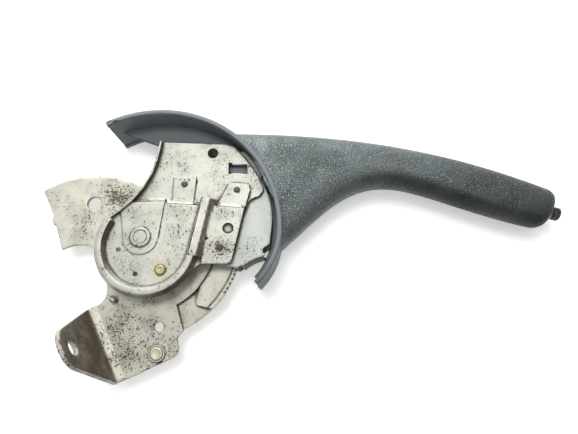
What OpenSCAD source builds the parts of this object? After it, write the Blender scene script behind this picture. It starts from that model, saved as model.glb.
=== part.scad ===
// Parking brake lever: a pressed-steel bracket with a ratchet quadrant, a lever built up from
// pressed plates, a grip with a release button, and a curved shield that closes the console slot.
// Working frame: +X towards the button, +Z up, +Y away from the side with the pivot rivet head.
// The origin is the ear bolt hole, on the near face of the bracket plate.

/* [Bracket] */
// Thickness of the bracket plate
bracket_t = 3.5; // [2.5:0.1:4]
// Diameter of the two bolt holes
bolt_hole_d = 11.4; // [9:0.1:13]
// Ear bolt hole to lever pivot, along X
ear_to_pivot_x = 44.7; // [43:0.1:47]
// Ear bolt hole to lever pivot, downwards
ear_to_pivot_z = 30.7; // [29:0.1:33]
// Height of the foot flange above the plate, to its bolt hole
foot_hole_h = 49; // [42:0.5:54]
// Radius of the rounded end of the foot flange
foot_tip_r = 14.5; // [13:0.5:17]
// Lean of the foot fold away from the vertical
foot_lean = 27; // [24:1:30]
// Length of the foot fold
foot_fold_l = 60; // [56:1:64]
// Set-back of the quadrant seat behind the plate face
seat_step = 2; // [1:0.1:3]

/* [Ratchet] */
// Radius of the tooth tips
tooth_r = 76; // [68:0.5:85]
// Tooth depth
tooth_depth = 2; // [1.4:0.1:2.4]
// Angle from tooth to tooth
tooth_pitch = 3; // [2:1:5]
// Thickness of the quadrant and of the pawl
ratchet_t = 5; // [4:0.5:5.5]
// Gap between the pawl nose and the tooth tips in the drawn pose
nose_gap = 0.3; // [0.2:0.05:0.5]

/* [Lever plates] */
// Sheet thickness of the lever plates
sheet_t = 2; // [1.6:0.1:2.2]
// Clear width inside the arm channel
arm_w = 20; // [19:0.5:22]
// Step of the joggle that brings the pan nearer
joggle = 1.5; // [1:0.1:1.8]
// Height of the pressed rib round the pan
rib_h = 4.5; // [3.5:0.1:5.5]
// Outer radius of the rib round the pan
rib_r = 39.7; // [38:0.1:40.5]
// Width of the rib
rib_w = 9; // [8:0.5:10]
// Height of the turned-up lip along the edge of the near cheek
lip_h = 4; // [3:0.5:5]
// Diameter of the pivot pin
pivot_d = 12; // [10:0.5:13]
// Outside diameter of the pivot sleeve
sleeve_d = 20; // [18:0.5:22]
// Radial running clearance of pins in their bores
run_fit = 0.05; // [0.03:0.01:0.08]

/* [Shield] */
// Outer radius of the shield
shield_r = 95.6; // [86:0.1:106]
// Width of the shield across the slot
shield_w = 47; // [44:0.5:50]
// Thickness of the shield's rolled edges
shield_edge_t = 3.6; // [3:0.1:4.5]
// Thickness of the shield between its edges
shield_skin_t = 2.6; // [2.2:0.1:3]

/* [Grip and release] */
// Outside diameter of the handle tube
tube_d = 20; // [19:0.5:22]
// Wall of the handle tube
tube_wall = 2; // [1.5:0.1:2.5]
// Half width of the grip at the shield
flare_half_w = 22; // [20:0.5:23]
// Half width of the grip at the button
end_half_w = 16.5; // [15.5:0.5:18]
// Wall of the hollow flare
grip_wall = 4; // [3:0.5:5]
// Slope of the button end below the level part of the tube
droop = 16; // [15:0.5:17]
// Diameter of the release button
button_d = 10.6; // [10:0.1:11.5]
// Length of button that stands out of the collar
button_out = 8.5; // [6:0.5:9]
// Diameter of the release rod
rod_d = 5; // [4:0.5:6]

/* [Hidden] */
$fn = 64;
steel = [0.78, 0.77, 0.74];
dark_steel = [0.62, 0.60, 0.56];
yellow_zinc = [0.80, 0.72, 0.42];
slate = [0.34, 0.36, 0.40];

// Layers across the lever, measured from its middle plane
ratchet_near = -ratchet_t / 2;
seat_near = ratchet_t / 2;
bracket_near = seat_near - seat_step;
arm_near = -arm_w / 2;
cheek_near = arm_near - sheet_t;
cheek_face = cheek_near - sheet_t;
pan_near = cheek_face - joggle;
far_face = arm_w / 2 + sheet_t;
far_back = far_face + sheet_t;

// Quadrant and pawl
quad_w = 19;
quad_inner_r = tooth_r - quad_w;
rim_r = tooth_r - 4;
tooth_from = -33;
tooth_to = 27;
quad_top = 30;
nose_angle = -8.75;
pawl_at = polar(tooth_r + 11, 22.29);
tail_l = 29.2;
tail_at = pawl_at + tail_l * [sin(droop), cos(droop)];
pawl_pin_d = 6;
hook_d = 4;
hook_gap = 0.8;
// Room kept round the pawl inside the shield
pawl_room = 1.2;
pawl_side_room = 0.8;
clip_near = seat_near + 0.4;
quad_rivet_r = (quad_inner_r + rim_r) / 2;
quad_rivet_d = 6;
quad_rivet_angles = [-8, 8, 24];

// Plate features on the near side
pan_c = [5.2, -6.3];
tongue_r = 13.4;
tongue_step = 0.7;
ramp_h = 2.5;
cable_at = [16.6, -24.8];
leg_lean = 11.5;
leg_l = 46;
roof_z = 78;
rivet_at = [[30.9, 42.2], [72.1, 37.3]];
low_rivet_at = [60.4, -8.5];
rivet_d = 3;
rivet_head = 4.6;
rivet_rise = 0.7;
pad_rise = 0.6;
gauge_holes = [[-15.9, -9.7], [-1.7, -28]];
gauge_d = 3.4;
cable_pin_d = 6;
access_at = [52, 68.4];
side_hole_at = [66.3, 6.5];
access_d = 8.2;
edge_left = [[10, 77], [7.7, 61.1], [4.1, 49.2], [-1.8, 37.5], [-9.8, 27.1], [-18, 19.4],
    [-23.6, 15.1]];

// Foot and stud
foot_top = [-40.4, -52.7];
foot_bottom = foot_top + foot_fold_l * [sin(foot_lean), -cos(foot_lean)];
stud_at = foot_bottom + [27.06, 20.86];
stud_d = 8;
lamp_hole_at = stud_at + [0, 19.3];
lamp_hole_d = 7.4;

// Shield and handle
shield_c = [11.7, 6];
shield_to = 117.5;
// Its lower end curves in more tightly
heel_r = shield_r - 35.6;
heel_c = shield_c + [shield_r - heel_r, 0];
heel_from = -45;
tube_z = tail_at[1];
tube_start = 98;
button_base = [324.5, 22.3];
bend_at = [button_base[0] - (tube_z - button_base[1]) / tan(droop), tube_z];
fall = [cos(droop), -sin(droop)];
tube_r = tube_d / 2;
collar_t = 1.2;
bore_d = tube_d - 2 * tube_wall;
grip_top = [[56, 87.8], [150, 87.8], [230, 79.6], [316.2, 42.6]];
grip_low_flare = [[105.8, -8.5], [135, 17], [155, 43.6], [190, 43.6]];
grip_low_end = [[190, 43.6], [215, 43.6], [255, 23], [304, 11.6]];
grip_steps = 18;
grip_sides = 32;
cap_push = [4, 7.4, 9.2];
cap_scale = [0.955, 0.83, 0.64];
collar_at = ((bez(grip_top, 1) + grip_low(1)) / 2 - bend_at) * fall + cap_push[2];
seat_at = collar_at - 62;
seat_t = 2;
button_in = 22;
button_gap = 0.1;
spring_wire_r = 0.6;
// Longer than any plate stack, for cutting holes right through
through = 40;

// Room between the plates and the shield's outer face
plate_gap = 8.2;
chin = under(-13.7, plate_gap + 3.2);
roof_line = [[10, roof_z], under(54.3, plate_gap + 1.2), under(49.7, plate_gap - 1.3)];

// Helpers for plates that lie across Y
module place() {
    translate([ear_to_pivot_x, -bracket_near, -ear_to_pivot_z]) children();
}
module slab(y0, y1) {
    translate([0, y1, 0]) rotate([90, 0, 0]) linear_extrude(y1 - y0) children();
}
module rod_y(p, d, y0, y1) {
    translate([p[0], y1, p[1]]) rotate([90, 0, 0]) cylinder(d = d, h = y1 - y0);
}
module ring_y(p, a0, a1) {
    translate([p[0], 0, p[1]]) rotate([90, 0, 0]) rotate([0, 0, a0])
        rotate_extrude(angle = a1 - a0, $fn = 180) children();
}
// A solid turned about the sloping axis of the button end, at a distance along it
module on_fall(d) {
    p = bend_at + d * fall;
    translate([p[0], 0, p[1]]) rotate([0, 90 + droop, 0]) children();
}

// Wedge along a pressed step, from the near level at its foot to the far level at its top
module ramp(line, near, far) {
    d = line[1] - line[0];
    in = 0.5;
    top = ramp_h * (1 + in / (far - near));
    translate([line[0][0], 0, line[0][1]]) rotate([0, -atan2(d[1], d[0]), 0]) rotate([90, 0, 90])
        linear_extrude(norm(d)) polygon([[near + 0.1, -1], [far + in, -1], [far + in, top], [near + 0.1, 0]]);
}

// Points of an arc from a to b whose middle stands s to the left of the chord
function bow(a, b, s, n = 12) = let (
    c = norm(b - a), r = (c * c / 4 + s * s) / (2 * s), u = (b - a) / c, v = [-u[1], u[0]],
    m = (a + b) / 2 + (s - r) * v, h = asin(c / 2 / r))
    [for (i = [0:n - 1]) let (t = h * (2 * i / n - 1)) m + r * (sin(t) * u + cos(t) * v)];
function polar(r, a) = r * [cos(a), sin(a)];
function arc(r, a0, a1, n = 24) = [for (i = [0:n]) polar(r, a0 + (a1 - a0) * i / n)];
// Touching point of a tangent from p to the circle round c
function touch(p, c, r, side) = let (
    d = c - p, l = norm(d), k = sqrt(l * l - r * r), u = d / l, v = [-u[1], u[0]])
    p + k * (k / l * u + side * r / l * v);
// A point at an angle round the shield, inset from its outer face
function under(a, inset) = shield_c + polar(shield_r - inset, a);
function mix(a, b, t) = a + (b - a) * t;
function ease(t) = let (s = max(0, min(1, t))) s * s * (3 - 2 * s);
function bez(p, t) = pow(1 - t, 3) * p[0] + 3 * t * pow(1 - t, 2) * p[1]
    + 3 * t * t * (1 - t) * p[2] + pow(t, 3) * p[3];

// Bracket plate: ear, hub and foot in one outline
module bracket_outline() {
    ear_nose = [-86.6, 41.4];
    ear_heel = [-66.5, -6.8];
    foot_corner = stud_at + [10.6, -3.7];
    polygon(concat(
        bow(ear_nose, [-8.9, 45.9], 10.5),
        [[-8.9, 45.9], [12, 44]],
        arc(quad_inner_r - 1, 60, -62),
        [[32.7, -68.9], [29.7, -71.5], [28.2, -74.9], [29.1, -79.5]],
        bow([29.1, -79.5], foot_corner, 2.4, 6),
        [foot_corner, foot_bottom, foot_top],
        bow(foot_top, [-28.3, -34.8], -5),
        [[-28.3, -34.8], [-34, -12]],
        bow([-43.8, -4.4], ear_heel, -2.4),
        [ear_heel, [-72.8, 11.7]],
        bow([-72.8, 11.7], [-76.2, 21.3], 2, 6),
        [[-76.2, 21.3]]));
}
module quadrant_seat() {
    seat_r = tooth_r - 1;
    far = bracket_near + bracket_t;
    ring_y([0, 0], -65, quad_top) polygon([[quad_inner_r - 5, -bracket_near],
        [quad_inner_r - 1, -seat_near], [seat_r, -seat_near], [seat_r, -seat_near - bracket_t],
        [quad_inner_r - 2, -seat_near - bracket_t], [quad_inner_r - 6, -far]]);
}
module foot_flange() {
    far = bracket_near + bracket_t;
    hole = [bracket_near - foot_hole_h, foot_fold_l / 2];
    bend = bracket_t + 2;
    low = touch([bracket_near, 0], hole, foot_tip_r, 1);
    high = touch([bracket_near, foot_fold_l], hole, foot_tip_r, -1);
    translate([foot_bottom[0], 0, foot_bottom[1]]) rotate([0, -foot_lean, 0]) difference() {
        intersection() {
            linear_extrude(foot_fold_l) polygon(concat(
                [[bend, bracket_near], [0, bracket_near - 2], [0, -90], [-bracket_t, -90]],
                [for (a = [180:-15:90]) [bend - bracket_t, far - bend] + bend * [cos(a), sin(a)]],
                [[bend, far]]));
            rotate([90, 0, 90]) translate([0, 0, -bend]) linear_extrude(3 * bend) union() {
                translate(hole) circle(foot_tip_r);
                polygon([[far + 1, 0], [bracket_near, 0], low, hole, high, [bracket_near, foot_fold_l],
                    [far + 1, foot_fold_l]]);
            }
        }
        translate([-2 * bracket_t, hole[0], hole[1]]) rotate([0, 90, 0])
            cylinder(d = bolt_hole_d, h = 4 * bracket_t);
    }
}
module guide_tab() {
    tab_a = -115.5;
    rotate([0, -tab_a, 0]) translate([49, bracket_near - 7, -3.5]) cube([2.5, 7 + bracket_t, 7]);
}
module base_bracket() {
    far = bracket_near + bracket_t;
    color(dark_steel) place() difference() {
        union() {
            slab(bracket_near, far) bracket_outline();
            quadrant_seat();
            foot_flange();
            guide_tab();
        }
        rod_y([0, 0], sleeve_d, -through, through);
        rod_y([-ear_to_pivot_x, ear_to_pivot_z], bolt_hole_d, -through, through);
        rod_y(lamp_hole_at, lamp_hole_d, -through, through);
        rod_y(stud_at, stud_d, -through, through);
        for (a = quad_rivet_angles) rod_y(polar(quad_rivet_r, a), quad_rivet_d, -through, through);
    }
}

// Ratchet quadrant: each tooth rises gently upwards and drops steeply to the next valley
module quadrant_outline(r_max) {
    heel = polar(quad_inner_r + 6.2, -48.8);
    toe = polar(quad_inner_r + 9.8, -48.8);
    teeth = [for (a = [tooth_from:tooth_pitch:tooth_to - tooth_pitch])
        each [polar(r_max - tooth_depth, a), polar(r_max, a + tooth_pitch - 0.4)]];
    polygon(concat(arc(r_max, -44, tooth_from, 8), teeth, arc(r_max, tooth_to, quad_top, 3),
        arc(quad_inner_r, quad_top, -38), bow(heel, toe, -1, 5), [toe]));
}
module ratchet_quadrant() {
    color(dark_steel) place() difference() {
        union() {
            slab(ratchet_near, seat_near) intersection() {
                quadrant_outline(tooth_r);
                circle(rim_r, $fn = 180);
            }
            slab(ratchet_near + 1, seat_near) quadrant_outline(tooth_r);
        }
        for (a = quad_rivet_angles) rod_y(polar(quad_rivet_r, a), quad_rivet_d, -through, through);
    }
}
module rivet(p, d, head, y0, y1, rise) {
    rod_y(p, d, y0 - rise, y1 + rise);
    rod_y(p, head, y0 - rise, y0);
    rod_y(p, head, y1, y1 + rise);
}
module quadrant_rivets() {
    color(steel) place() for (a = quad_rivet_angles)
        rivet(polar(quad_rivet_r, a), quad_rivet_d, 10, ratchet_near, seat_near + bracket_t, 1.5);
}
module bracket_stud() {
    far = bracket_near + bracket_t;
    color(yellow_zinc) place() {
        rivet(stud_at, stud_d, 12.3, bracket_near, far, 1.6);
        rod_y(stud_at, 9.2, bracket_near - 2.6, bracket_near);
    }
}

// Pivot: the sleeve is pressed into the bracket and the riveted pin turns in it
module pivot_sleeve() {
    color(steel) place() difference() {
        rod_y([0, 0], sleeve_d, pan_near + sheet_t + 0.15, far_face - 0.15);
        rod_y([0, 0], pivot_d + 2 * run_fit, -through, through);
    }
}
module pivot_pin() {
    color(steel) place() {
        seat = pan_near - tongue_step;
        near_rise = 0.8;
        far_rise = 2.2;
        rod_y([0, 0], pivot_d, seat - near_rise, far_back + far_rise);
        rod_y([0, 0], 15.4, seat - near_rise, seat);
        rod_y([0, 0], 17, far_back, far_back + far_rise);
    }
}

// Near cheek: upper plate, roof flange, lip, tongue and the pan that steps nearer
module upper_outline() {
    elbow = under(19, plate_gap + 7.7);
    polygon(concat(
        roof_line, [for (a = [41.8, 29.3]) under(a, plate_gap - 0.4)],
        bow(under(22.4, plate_gap), elbow, 1.4, 6),
        bow(elbow, [80, 25.5], -1.4, 6),
        [[80, 25.5], [77.8, 19.5], [-6, 27], for (i = [4:-1:0]) edge_left[i]]));
}
module pan_outline() {
    polygon(concat([for (i = [4:6]) edge_left[i]], [[-20, 4], [-20, -20]],
        [[30, -30], [47, -20], [66, -20], [70.5, -14], [77.9, 20.4], [56, 22.6], [38, 25.6],
        [18, 26.6], [17.4, 29]]));
    translate(pan_c) circle(rib_r - rib_w + 4, $fn = 96);
}
module tongue_outline() {
    circle(tongue_r, $fn = 96);
    polygon([[-tongue_r, 0], [tongue_r, 0], [17, 28.5], [-9, 27.4], [-16.5, 20]]);
}
module near_cheek() {
    pan_back = pan_near + sheet_t;
    lip_in = [for (p = edge_left) p + [sheet_t, 0.8]];
    color(steel) place() difference() {
        union() {
            slab(cheek_face, cheek_near) upper_outline();
            slab(pan_near, pan_back) pan_outline();
            slab(pan_near - tongue_step, pan_near) tongue_outline();
            ramp([[-8.6, 27.4], [16.7, 28.47]], pan_near - tongue_step, cheek_face);
            ramp([[17.6, 26.6], [38.8, 25.5]], pan_near, cheek_face);
            slab(cheek_face - pad_rise, cheek_face)
                polygon([[22.1, 26], [38.5, 26], [40, 48.8], [22.1, 48.8]]);
            slab(cheek_face - lip_h, cheek_face)
                polygon(concat(edge_left, [for (i = [6:-1:0]) lip_in[i]]));
            slab(cheek_face, far_face)
                polygon(concat(roof_line, [for (i = [2:-1:0]) roof_line[i] + [-0.4, -sheet_t]]));
        }
        rod_y([0, 0], pivot_d, -through, through);
        rod_y(cable_at, cable_pin_d, -through, 0);
        rod_y(access_at, access_d, -through, 0);
        slab(-through, 0) slot_outline();
        for (p = rivet_at) rod_y(p, rivet_d, -through, 0);
        rod_y(low_rivet_at, rivet_d, -through, 0);
        for (p = gauge_holes) rod_y(p, gauge_d, -through, 0);
    }
}
// Bow-tie slot for the shield's clip
module slot_outline() {
    polygon([[65.1, 50.6], [68, 51.8], [79.9, 51.2], [79.4, 59], [68, 58.6], [66.6, 60.6], [64.8, 60]]);
}
module far_outline() {
    polygon(concat(roof_line, [under(29.3, plate_gap), under(22.4, plate_gap), [80, 22], [72, -12],
        [58, -20]], arc(20, -80, -205), [[-2, 37], [6, 54]]));
}
module far_cheek() {
    color(steel) place() difference() {
        slab(far_face, far_back) far_outline();
        rod_y([0, 0], pivot_d, -through, through);
        rod_y(access_at, access_d, -through, through);
        for (p = rivet_at) rod_y(p, rivet_d, -through, through);
    }
}

// Rib plate: the rib round the pan runs on as a leg, with the side plate and its tab
module rib_profile(w, slope) {
    inner = w - sheet_t * norm([slope, rib_h]) / rib_h;
    polygon([[0, 0], [2.2, rib_h], [w - slope, rib_h], [w, 0], [inner, 0],
        [inner - slope * (1 - sheet_t / rib_h), rib_h - sheet_t], [3.2, rib_h - sheet_t], [sheet_t, 0]]);
}
module rib_leg() {
    translate([pan_c[0], pan_near, pan_c[1]]) rotate([0, leg_lean, 0])
        translate([rib_r - rib_w, 0, -1]) mirror([0, 1, 0])
        linear_extrude(leg_l) rib_profile(rib_w + 5.5, 6.5);
}
module side_plate() {
    polygon(concat([[47, -20.5]], bow([65, -20.5], [70.2, -16], -1.8, 6),
        [[70.2, -16], [78.4, 22.5], [54.9, 24.2], [50.8, 8]]));
}
module rib_plate() {
    tab_near = cheek_face - sheet_t;
    color(steel) place() difference() {
        union() {
            translate([0, pan_near, 0]) ring_y(pan_c, -leg_lean - 203, -leg_lean)
                translate([rib_r - rib_w, 0]) rib_profile(rib_w, 2.6);
            rib_leg();
            slab(pan_near - sheet_t, pan_near) side_plate();
            ramp([[57.4, 24], [78.2, 22.5]], pan_near - sheet_t, tab_near);
            slab(tab_near, cheek_face) polygon([[57, 22.8], [78.2, 20.9], [82.5, 37.2], [81.1, 42.2],
                [66, 43.3], [57.6, 26]]);
        }
        rod_y(side_hole_at, access_d, -through, 0);
        rod_y(rivet_at[1], rivet_d, -through, 0);
        rod_y(low_rivet_at, rivet_d, -through, 0);
    }
}

// Lever arm: channel with a closed bottom, whose neck takes the handle tube
module arm_outline() {
    neck_end = 132;
    notch = [[93, -7.7], [92.2, -11.2], [94.4, -11.8]];
    polygon(concat([[22, 35], [24, 73.5], [61, 72], [68, 70], [80, tube_z + tube_r],
        [neck_end, tube_z + tube_r], [neck_end, tube_z - tube_r], [91, tube_z - tube_r]],
        bow(under(27.6, plate_gap - 1.1), under(1.2, plate_gap), 3.6),
        [under(1.2, plate_gap), under(-7, plate_gap + 0.6)], notch, [chin],
        bow(chin, [73.7, -23], -1.5, 6),
        [[73.7, -23], [60, -20], [48, 0], [26, 18]]));
}
module arm_bottom() {
    inset = [-1, 1.8];
    lower = concat(bow(chin, [77.5, -22], -1.2, 6), [[77.5, -22]]);
    polygon(concat(lower, [for (i = [len(lower) - 1:-1:0]) lower[i] + inset]));
}
module lever_arm() {
    color([0.74, 0.77, 0.80]) place() difference() {
        union() {
            slab(cheek_near, arm_near) arm_outline();
            slab(arm_w / 2, far_face) arm_outline();
            slab(cheek_near, far_face) arm_bottom();
        }
        slab(-through, 0) slot_outline();
        rod_y(access_at, access_d, -through, through);
        for (p = rivet_at) rod_y(p, rivet_d, -through, through);
        rod_y(pawl_at, pawl_pin_d, -through, through);
    }
}
module plate_rivets() {
    color(dark_steel) place() {
        rivet(rivet_at[0], rivet_d, rivet_head, cheek_face - pad_rise, arm_near, rivet_rise);
        rivet(rivet_at[1], rivet_d, rivet_head, cheek_face - sheet_t, arm_near, rivet_rise);
        rivet(low_rivet_at, rivet_d, rivet_head, pan_near - sheet_t, pan_near + sheet_t, rivet_rise);
        for (p = rivet_at) rivet(p, rivet_d, rivet_head, arm_w / 2, far_back, rivet_rise);
    }
}

// Handle tube: level through the neck, one bend, then down to the button
module tube_solid(d, start, end) {
    reach = 400;
    mitre = droop / 2;
    intersection() {
        translate([start, 0, tube_z]) rotate([0, 90, 0]) cylinder(d = d, h = bend_at[0] + d - start);
        translate([bend_at[0], 0, tube_z]) rotate([0, mitre, 0])
            translate([-reach, -reach / 2, -reach / 2]) cube(reach);
    }
    intersection() {
        on_fall(-d) cylinder(d = d, h = end + d);
        translate([bend_at[0], 0, tube_z]) rotate([0, mitre, 0])
            translate([0, -reach / 2, -reach / 2]) cube(reach);
    }
}
module handle_tube() {
    color(steel) place() difference() {
        tube_solid(tube_d, tube_start, collar_at - 1);
        tube_solid(bore_d, tube_start - 1, collar_at);
    }
}

// Console shield: curved strip with rolled edges, a middle web and a clip
function shield_line(inset) = concat(
    [for (a = [heel_from:3:-1]) heel_c + polar(heel_r - inset, a)],
    [for (a = [0:2.5:shield_to]) shield_c + polar(shield_r - inset, a)]);
module shield_band(y0, y1, outer, inner) {
    in = shield_line(inner);
    slab(y0, y1) polygon(concat(shield_line(outer), [for (i = [len(in) - 1:-1:0]) in[i]]));
}
// A rib runs along the inside and widens into the web that rests on the roof
module shield_web() {
    rib_d = 8.6;
    low = -42;
    roof = 46;
    top = 115;
    wall = shield_skin_t - 0.4;
    outer = concat([for (a = [low:3:-1]) heel_c + polar(heel_r - wall, a)],
        [for (a = [0:3:top]) under(a, wall)]);
    inner = concat([for (a = [roof:-3:0]) under(a, rib_d)],
        [for (a = [-3:-3:low]) heel_c + polar(heel_r - rib_d, a)]);
    slab(-1.2, 1.2) polygon(concat(outer, roof_line, inner));
}
module shield_clip() {
    gap = 0.2;
    wall = shield_skin_t - 0.4;
    slab(arm_near + gap, arm_near + gap + 2.2)
        polygon([[62, 53], [78, 52], under(24.5, 11), under(22.3, wall), under(28.3, wall),
            under(36, 5.5), [62, 59]]);
}
module console_shield() {
    neck = tube_r + 0.4;
    pawl_slot = 12;
    half = shield_w / 2;
    edge_w = 5;
    sunk = shield_skin_t - 0.4;
    color(slate) place() {
        difference() {
            union() {
                shield_band(-half, half, 0, shield_skin_t);
                shield_band(-half, edge_w - half, sunk, shield_edge_t);
                shield_band(half - edge_w, half, sunk, shield_edge_t);
                shield_web();
            }
            translate([60, -far_face - 0.3, tube_z - neck]) cube([80, 2 * far_face + 0.6, 2 * neck]);
            translate([60, ratchet_near - pawl_side_room, tube_z - neck - pawl_slot])
                cube([80, ratchet_t + 2 * pawl_side_room, 2 * pawl_slot]);
            slab(ratchet_near - pawl_side_room, seat_near + pawl_side_room) pawl_outline(pawl_room);
        }
        shield_clip();
    }
}

// Grip: a hollow loft from the shield to the button end, drawn round the bent tube
function grip_low(s) = s < 0.5 ? bez(grip_low_flare, 2 * s) : bez(grip_low_end, 2 * s - 1);
function power(c, e) = sign(c) * pow(abs(c), e);
// Distance along the tube's middle line at a point beyond or before the bend
function tube_mid(p) = p[0] < bend_at[0] ? [p[0], tube_z] : bend_at + ((p - bend_at) * fall) * fall;
function grip_ring(s, push, k, grow) = let (
    hi = bez(grip_top, s), lo = grip_low(s), m = (hi + lo) / 2, u = (hi - lo) / norm(hi - lo),
    flat = mix(0.62, 0.9, ease(s * 1.4)), h = (norm(hi - lo) / 2 + grow) * k,
    w = (mix(flare_half_w, end_half_w, ease(s * 1.6)) + grow) * k)
    [for (j = [0:grip_sides - 1]) let (
        a = 360 * j / grip_sides, q = m + push * fall + h * power(sin(a), flat) * u)
        [q[0], w * power(cos(a), flat), q[1]]];
function hole_ring(s, push) = let (
    hi = bez(grip_top, s), lo = grip_low(s), u = (hi - lo) / norm(hi - lo),
    m = tube_mid((hi + lo) / 2), shell = grip_ring(s, push, 1, -grip_wall), t = ease((s - 0.3) * 6))
    [for (j = [0:grip_sides - 1]) let (
        a = 360 * j / grip_sides, q = m + push * fall + tube_r * sin(a) * u)
        mix(shell[j], [q[0], tube_r * cos(a), q[1]], t)];
// The first ring lies on the shield's outer face
function shield_x(z) = let (low = z < shield_c[1], r = low ? heel_r : shield_r, c = low ? heel_c : shield_c)
    c[0] + sqrt(r * r - pow(z - c[1], 2));
function on_shield(ring) = [for (p = ring) [shield_x(p[2]), p[1], p[2]]];
module grip() {
    n = grip_sides;
    body = [for (i = [1:grip_steps]) grip_ring(i / grip_steps, 0, 1, 0)];
    cap = [for (i = [0:2]) grip_ring(1, cap_push[i], cap_scale[i], 0)];
    inner = [for (i = [1:grip_steps]) hole_ring(i / grip_steps, 0)];
    outside = concat([on_shield(grip_ring(0, 0, 1, 0))], body, cap);
    inside = concat([on_shield(hole_ring(0, 0))], inner, [hole_ring(1, cap_push[2])]);
    loop = concat(outside, [for (i = [len(inside) - 1:-1:0]) inside[i]]);
    m = len(loop);
    faces = [for (i = [0:m - 1], j = [0:n - 1]) each let (
        a = i * n + j, b = i * n + (j + 1) % n,
        c = ((i + 1) % m) * n + (j + 1) % n, d = ((i + 1) % m) * n + j)
        [[a, b, c], [a, c, d]]];
    color([0.27, 0.30, 0.32]) place() polyhedron([for (r = loop) each r], faces);
}

// Release: collar, button, rod with a hooked end, spring and seat
module button_collar() {
    color([0.85, 0.85, 0.86]) place() on_fall(collar_at) difference() {
        union() {
            cylinder(d = 16.6, h = collar_t);
            translate([0, 0, -18]) cylinder(d = bore_d, h = 18);
        }
        translate([0, 0, -20]) cylinder(d = button_d + 2 * button_gap, h = 30);
    }
}
module button() {
    tip = 1.6;
    body_l = collar_t + button_out - tip + button_in;
    dish_d = 6.4;
    color([0.08, 0.08, 0.09]) place() on_fall(collar_at - button_in) difference() {
        union() {
            cylinder(d = button_d, h = body_l);
            translate([0, 0, body_l]) rotate_extrude() intersection() {
                scale([button_d / 2 / tip, 1]) circle(tip);
                square(button_d);
            }
        }
        translate([0, 0, -1]) cylinder(d = rod_d, h = 13);
        translate([0, 0, body_l + tip - 0.9]) cylinder(d = dish_d, h = 2);
        translate([0, 0, button_in + collar_t + 0.5]) rotate_extrude()
            translate([button_d / 2 - 0.8, 0]) square([2, 2.8]);
    }
}
module release_rod() {
    lug_near = ratchet_near - 2.6;
    color(steel) place() {
        tube_solid(rod_d, tail_at[0] + 11, collar_at - 10);
        slab(lug_near, ratchet_near - 0.3) union() {
            translate(tail_at) circle(4.6);
            translate(tail_at + [0, -2.3]) square([18, 4.6]);
        }
        slab(lug_near, 0) translate(tail_at + [10, -2]) square([7, 4]);
        rod_y(tail_at, hook_d, lug_near, clip_near + 1.6);
    }
}
module rod_clip() {
    color(steel) place() difference() {
        rod_y(tail_at, 8, clip_near, clip_near + 1);
        rod_y(tail_at, hook_d, -through, through);
    }
}
module spring_seat() {
    color(dark_steel) place() on_fall(seat_at) difference() {
        cylinder(d = bore_d, h = seat_t);
        translate([0, 0, -1]) cylinder(d = rod_d + 5, h = 4);
    }
}
module rod_spring() {
    wire_r = spring_wire_r;
    coil_r = 5.9;
    turns = 9;
    n = 6;
    per_turn = 12;
    steps = turns * per_turn;
    length = collar_at - button_in - seat_at - seat_t - 2 * wire_r;
    rings = [for (i = [0:steps]) let (a = 360 * i / per_turn, z = length * i / steps)
        [for (j = [0:n - 1]) let (b = 360 * j / n, r = coil_r + wire_r * cos(b))
            [r * cos(a), r * sin(a), z + wire_r * sin(b)]]];
    last = len(rings) - 1;
    sides = [for (i = [0:last - 1], j = [0:n - 1]) each let (
        a = i * n + j, b = i * n + (j + 1) % n) [[a, a + n, b], [b, a + n, b + n]]];
    ends = [[for (j = [0:n - 1]) j], [for (j = [n - 1:-1:0]) last * n + j]];
    color(steel) place() on_fall(seat_at + seat_t + wire_r)
        polyhedron([for (r = rings) each r], concat(sides, ends));
}

// Pawl: nose over the teeth, boss on its pin, tail hooked by the rod
module pawl_outline(room = 0) {
    tip_r = tooth_r + nose_gap;
    body_r = tooth_r + 2.8;
    boss_r = 8 + room;
    tail_r = 5.6 + room;
    polygon(concat([polar(tip_r, nose_angle), polar(tip_r + 2.4, nose_angle + 2.6)],
        arc(body_r, nose_angle + 4, 14, 8),
        [for (a = [215:-15:170]) pawl_at + polar(boss_r, a)],
        [for (a = [165:-15:-15]) tail_at + polar(tail_r, a)],
        [for (a = [5:-15:-25]) pawl_at + polar(boss_r, a)],
        [polar(tip_r + 6.6 + room, nose_angle - 0.8), polar(tip_r + 2.4, nose_angle - 0.6)]));
}
module pawl() {
    color(dark_steel) place() difference() {
        slab(ratchet_near, seat_near) pawl_outline();
        rod_y(pawl_at, pawl_pin_d + 2 * run_fit, -through, through);
        rod_y(tail_at, hook_d + 2 * hook_gap, -through, through);
    }
}
module pawl_pin() {
    color(steel) place() rod_y(pawl_at, pawl_pin_d, cheek_near, far_face);
}

// Cable pin: a riveted stub inside the pan, with a clip that keeps the cable eye on it
module cable_pin() {
    color(yellow_zinc) place() {
        head_rise = 1.4;
        rod_y(cable_at, cable_pin_d, pan_near - head_rise, bracket_near - 1.2);
        rod_y(cable_at, 7.6, pan_near - head_rise, pan_near);
        rod_y(cable_at, 9, pan_near + sheet_t, pan_near + sheet_t + 1.5);
    }
}
module cable_pin_clip() {
    color(dark_steel) place() difference() {
        rod_y(cable_at, 11, bracket_near - 3.4, bracket_near - 2.4);
        rod_y(cable_at, cable_pin_d, -through, through);
        translate([cable_at[0] - 1.6, -through, cable_at[1] - 10]) cube([3.2, 2 * through, 10]);
    }
}

base_bracket();
ratchet_quadrant();
quadrant_rivets();
bracket_stud();
pivot_sleeve();
pivot_pin();
near_cheek();
far_cheek();
rib_plate();
lever_arm();
plate_rivets();
handle_tube();
console_shield();
grip();
button_collar();
spring_seat();
rod_spring();
cable_pin();
cable_pin_clip();
pawl_pin();
pawl();
button();
release_rod();
rod_clip();
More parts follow.
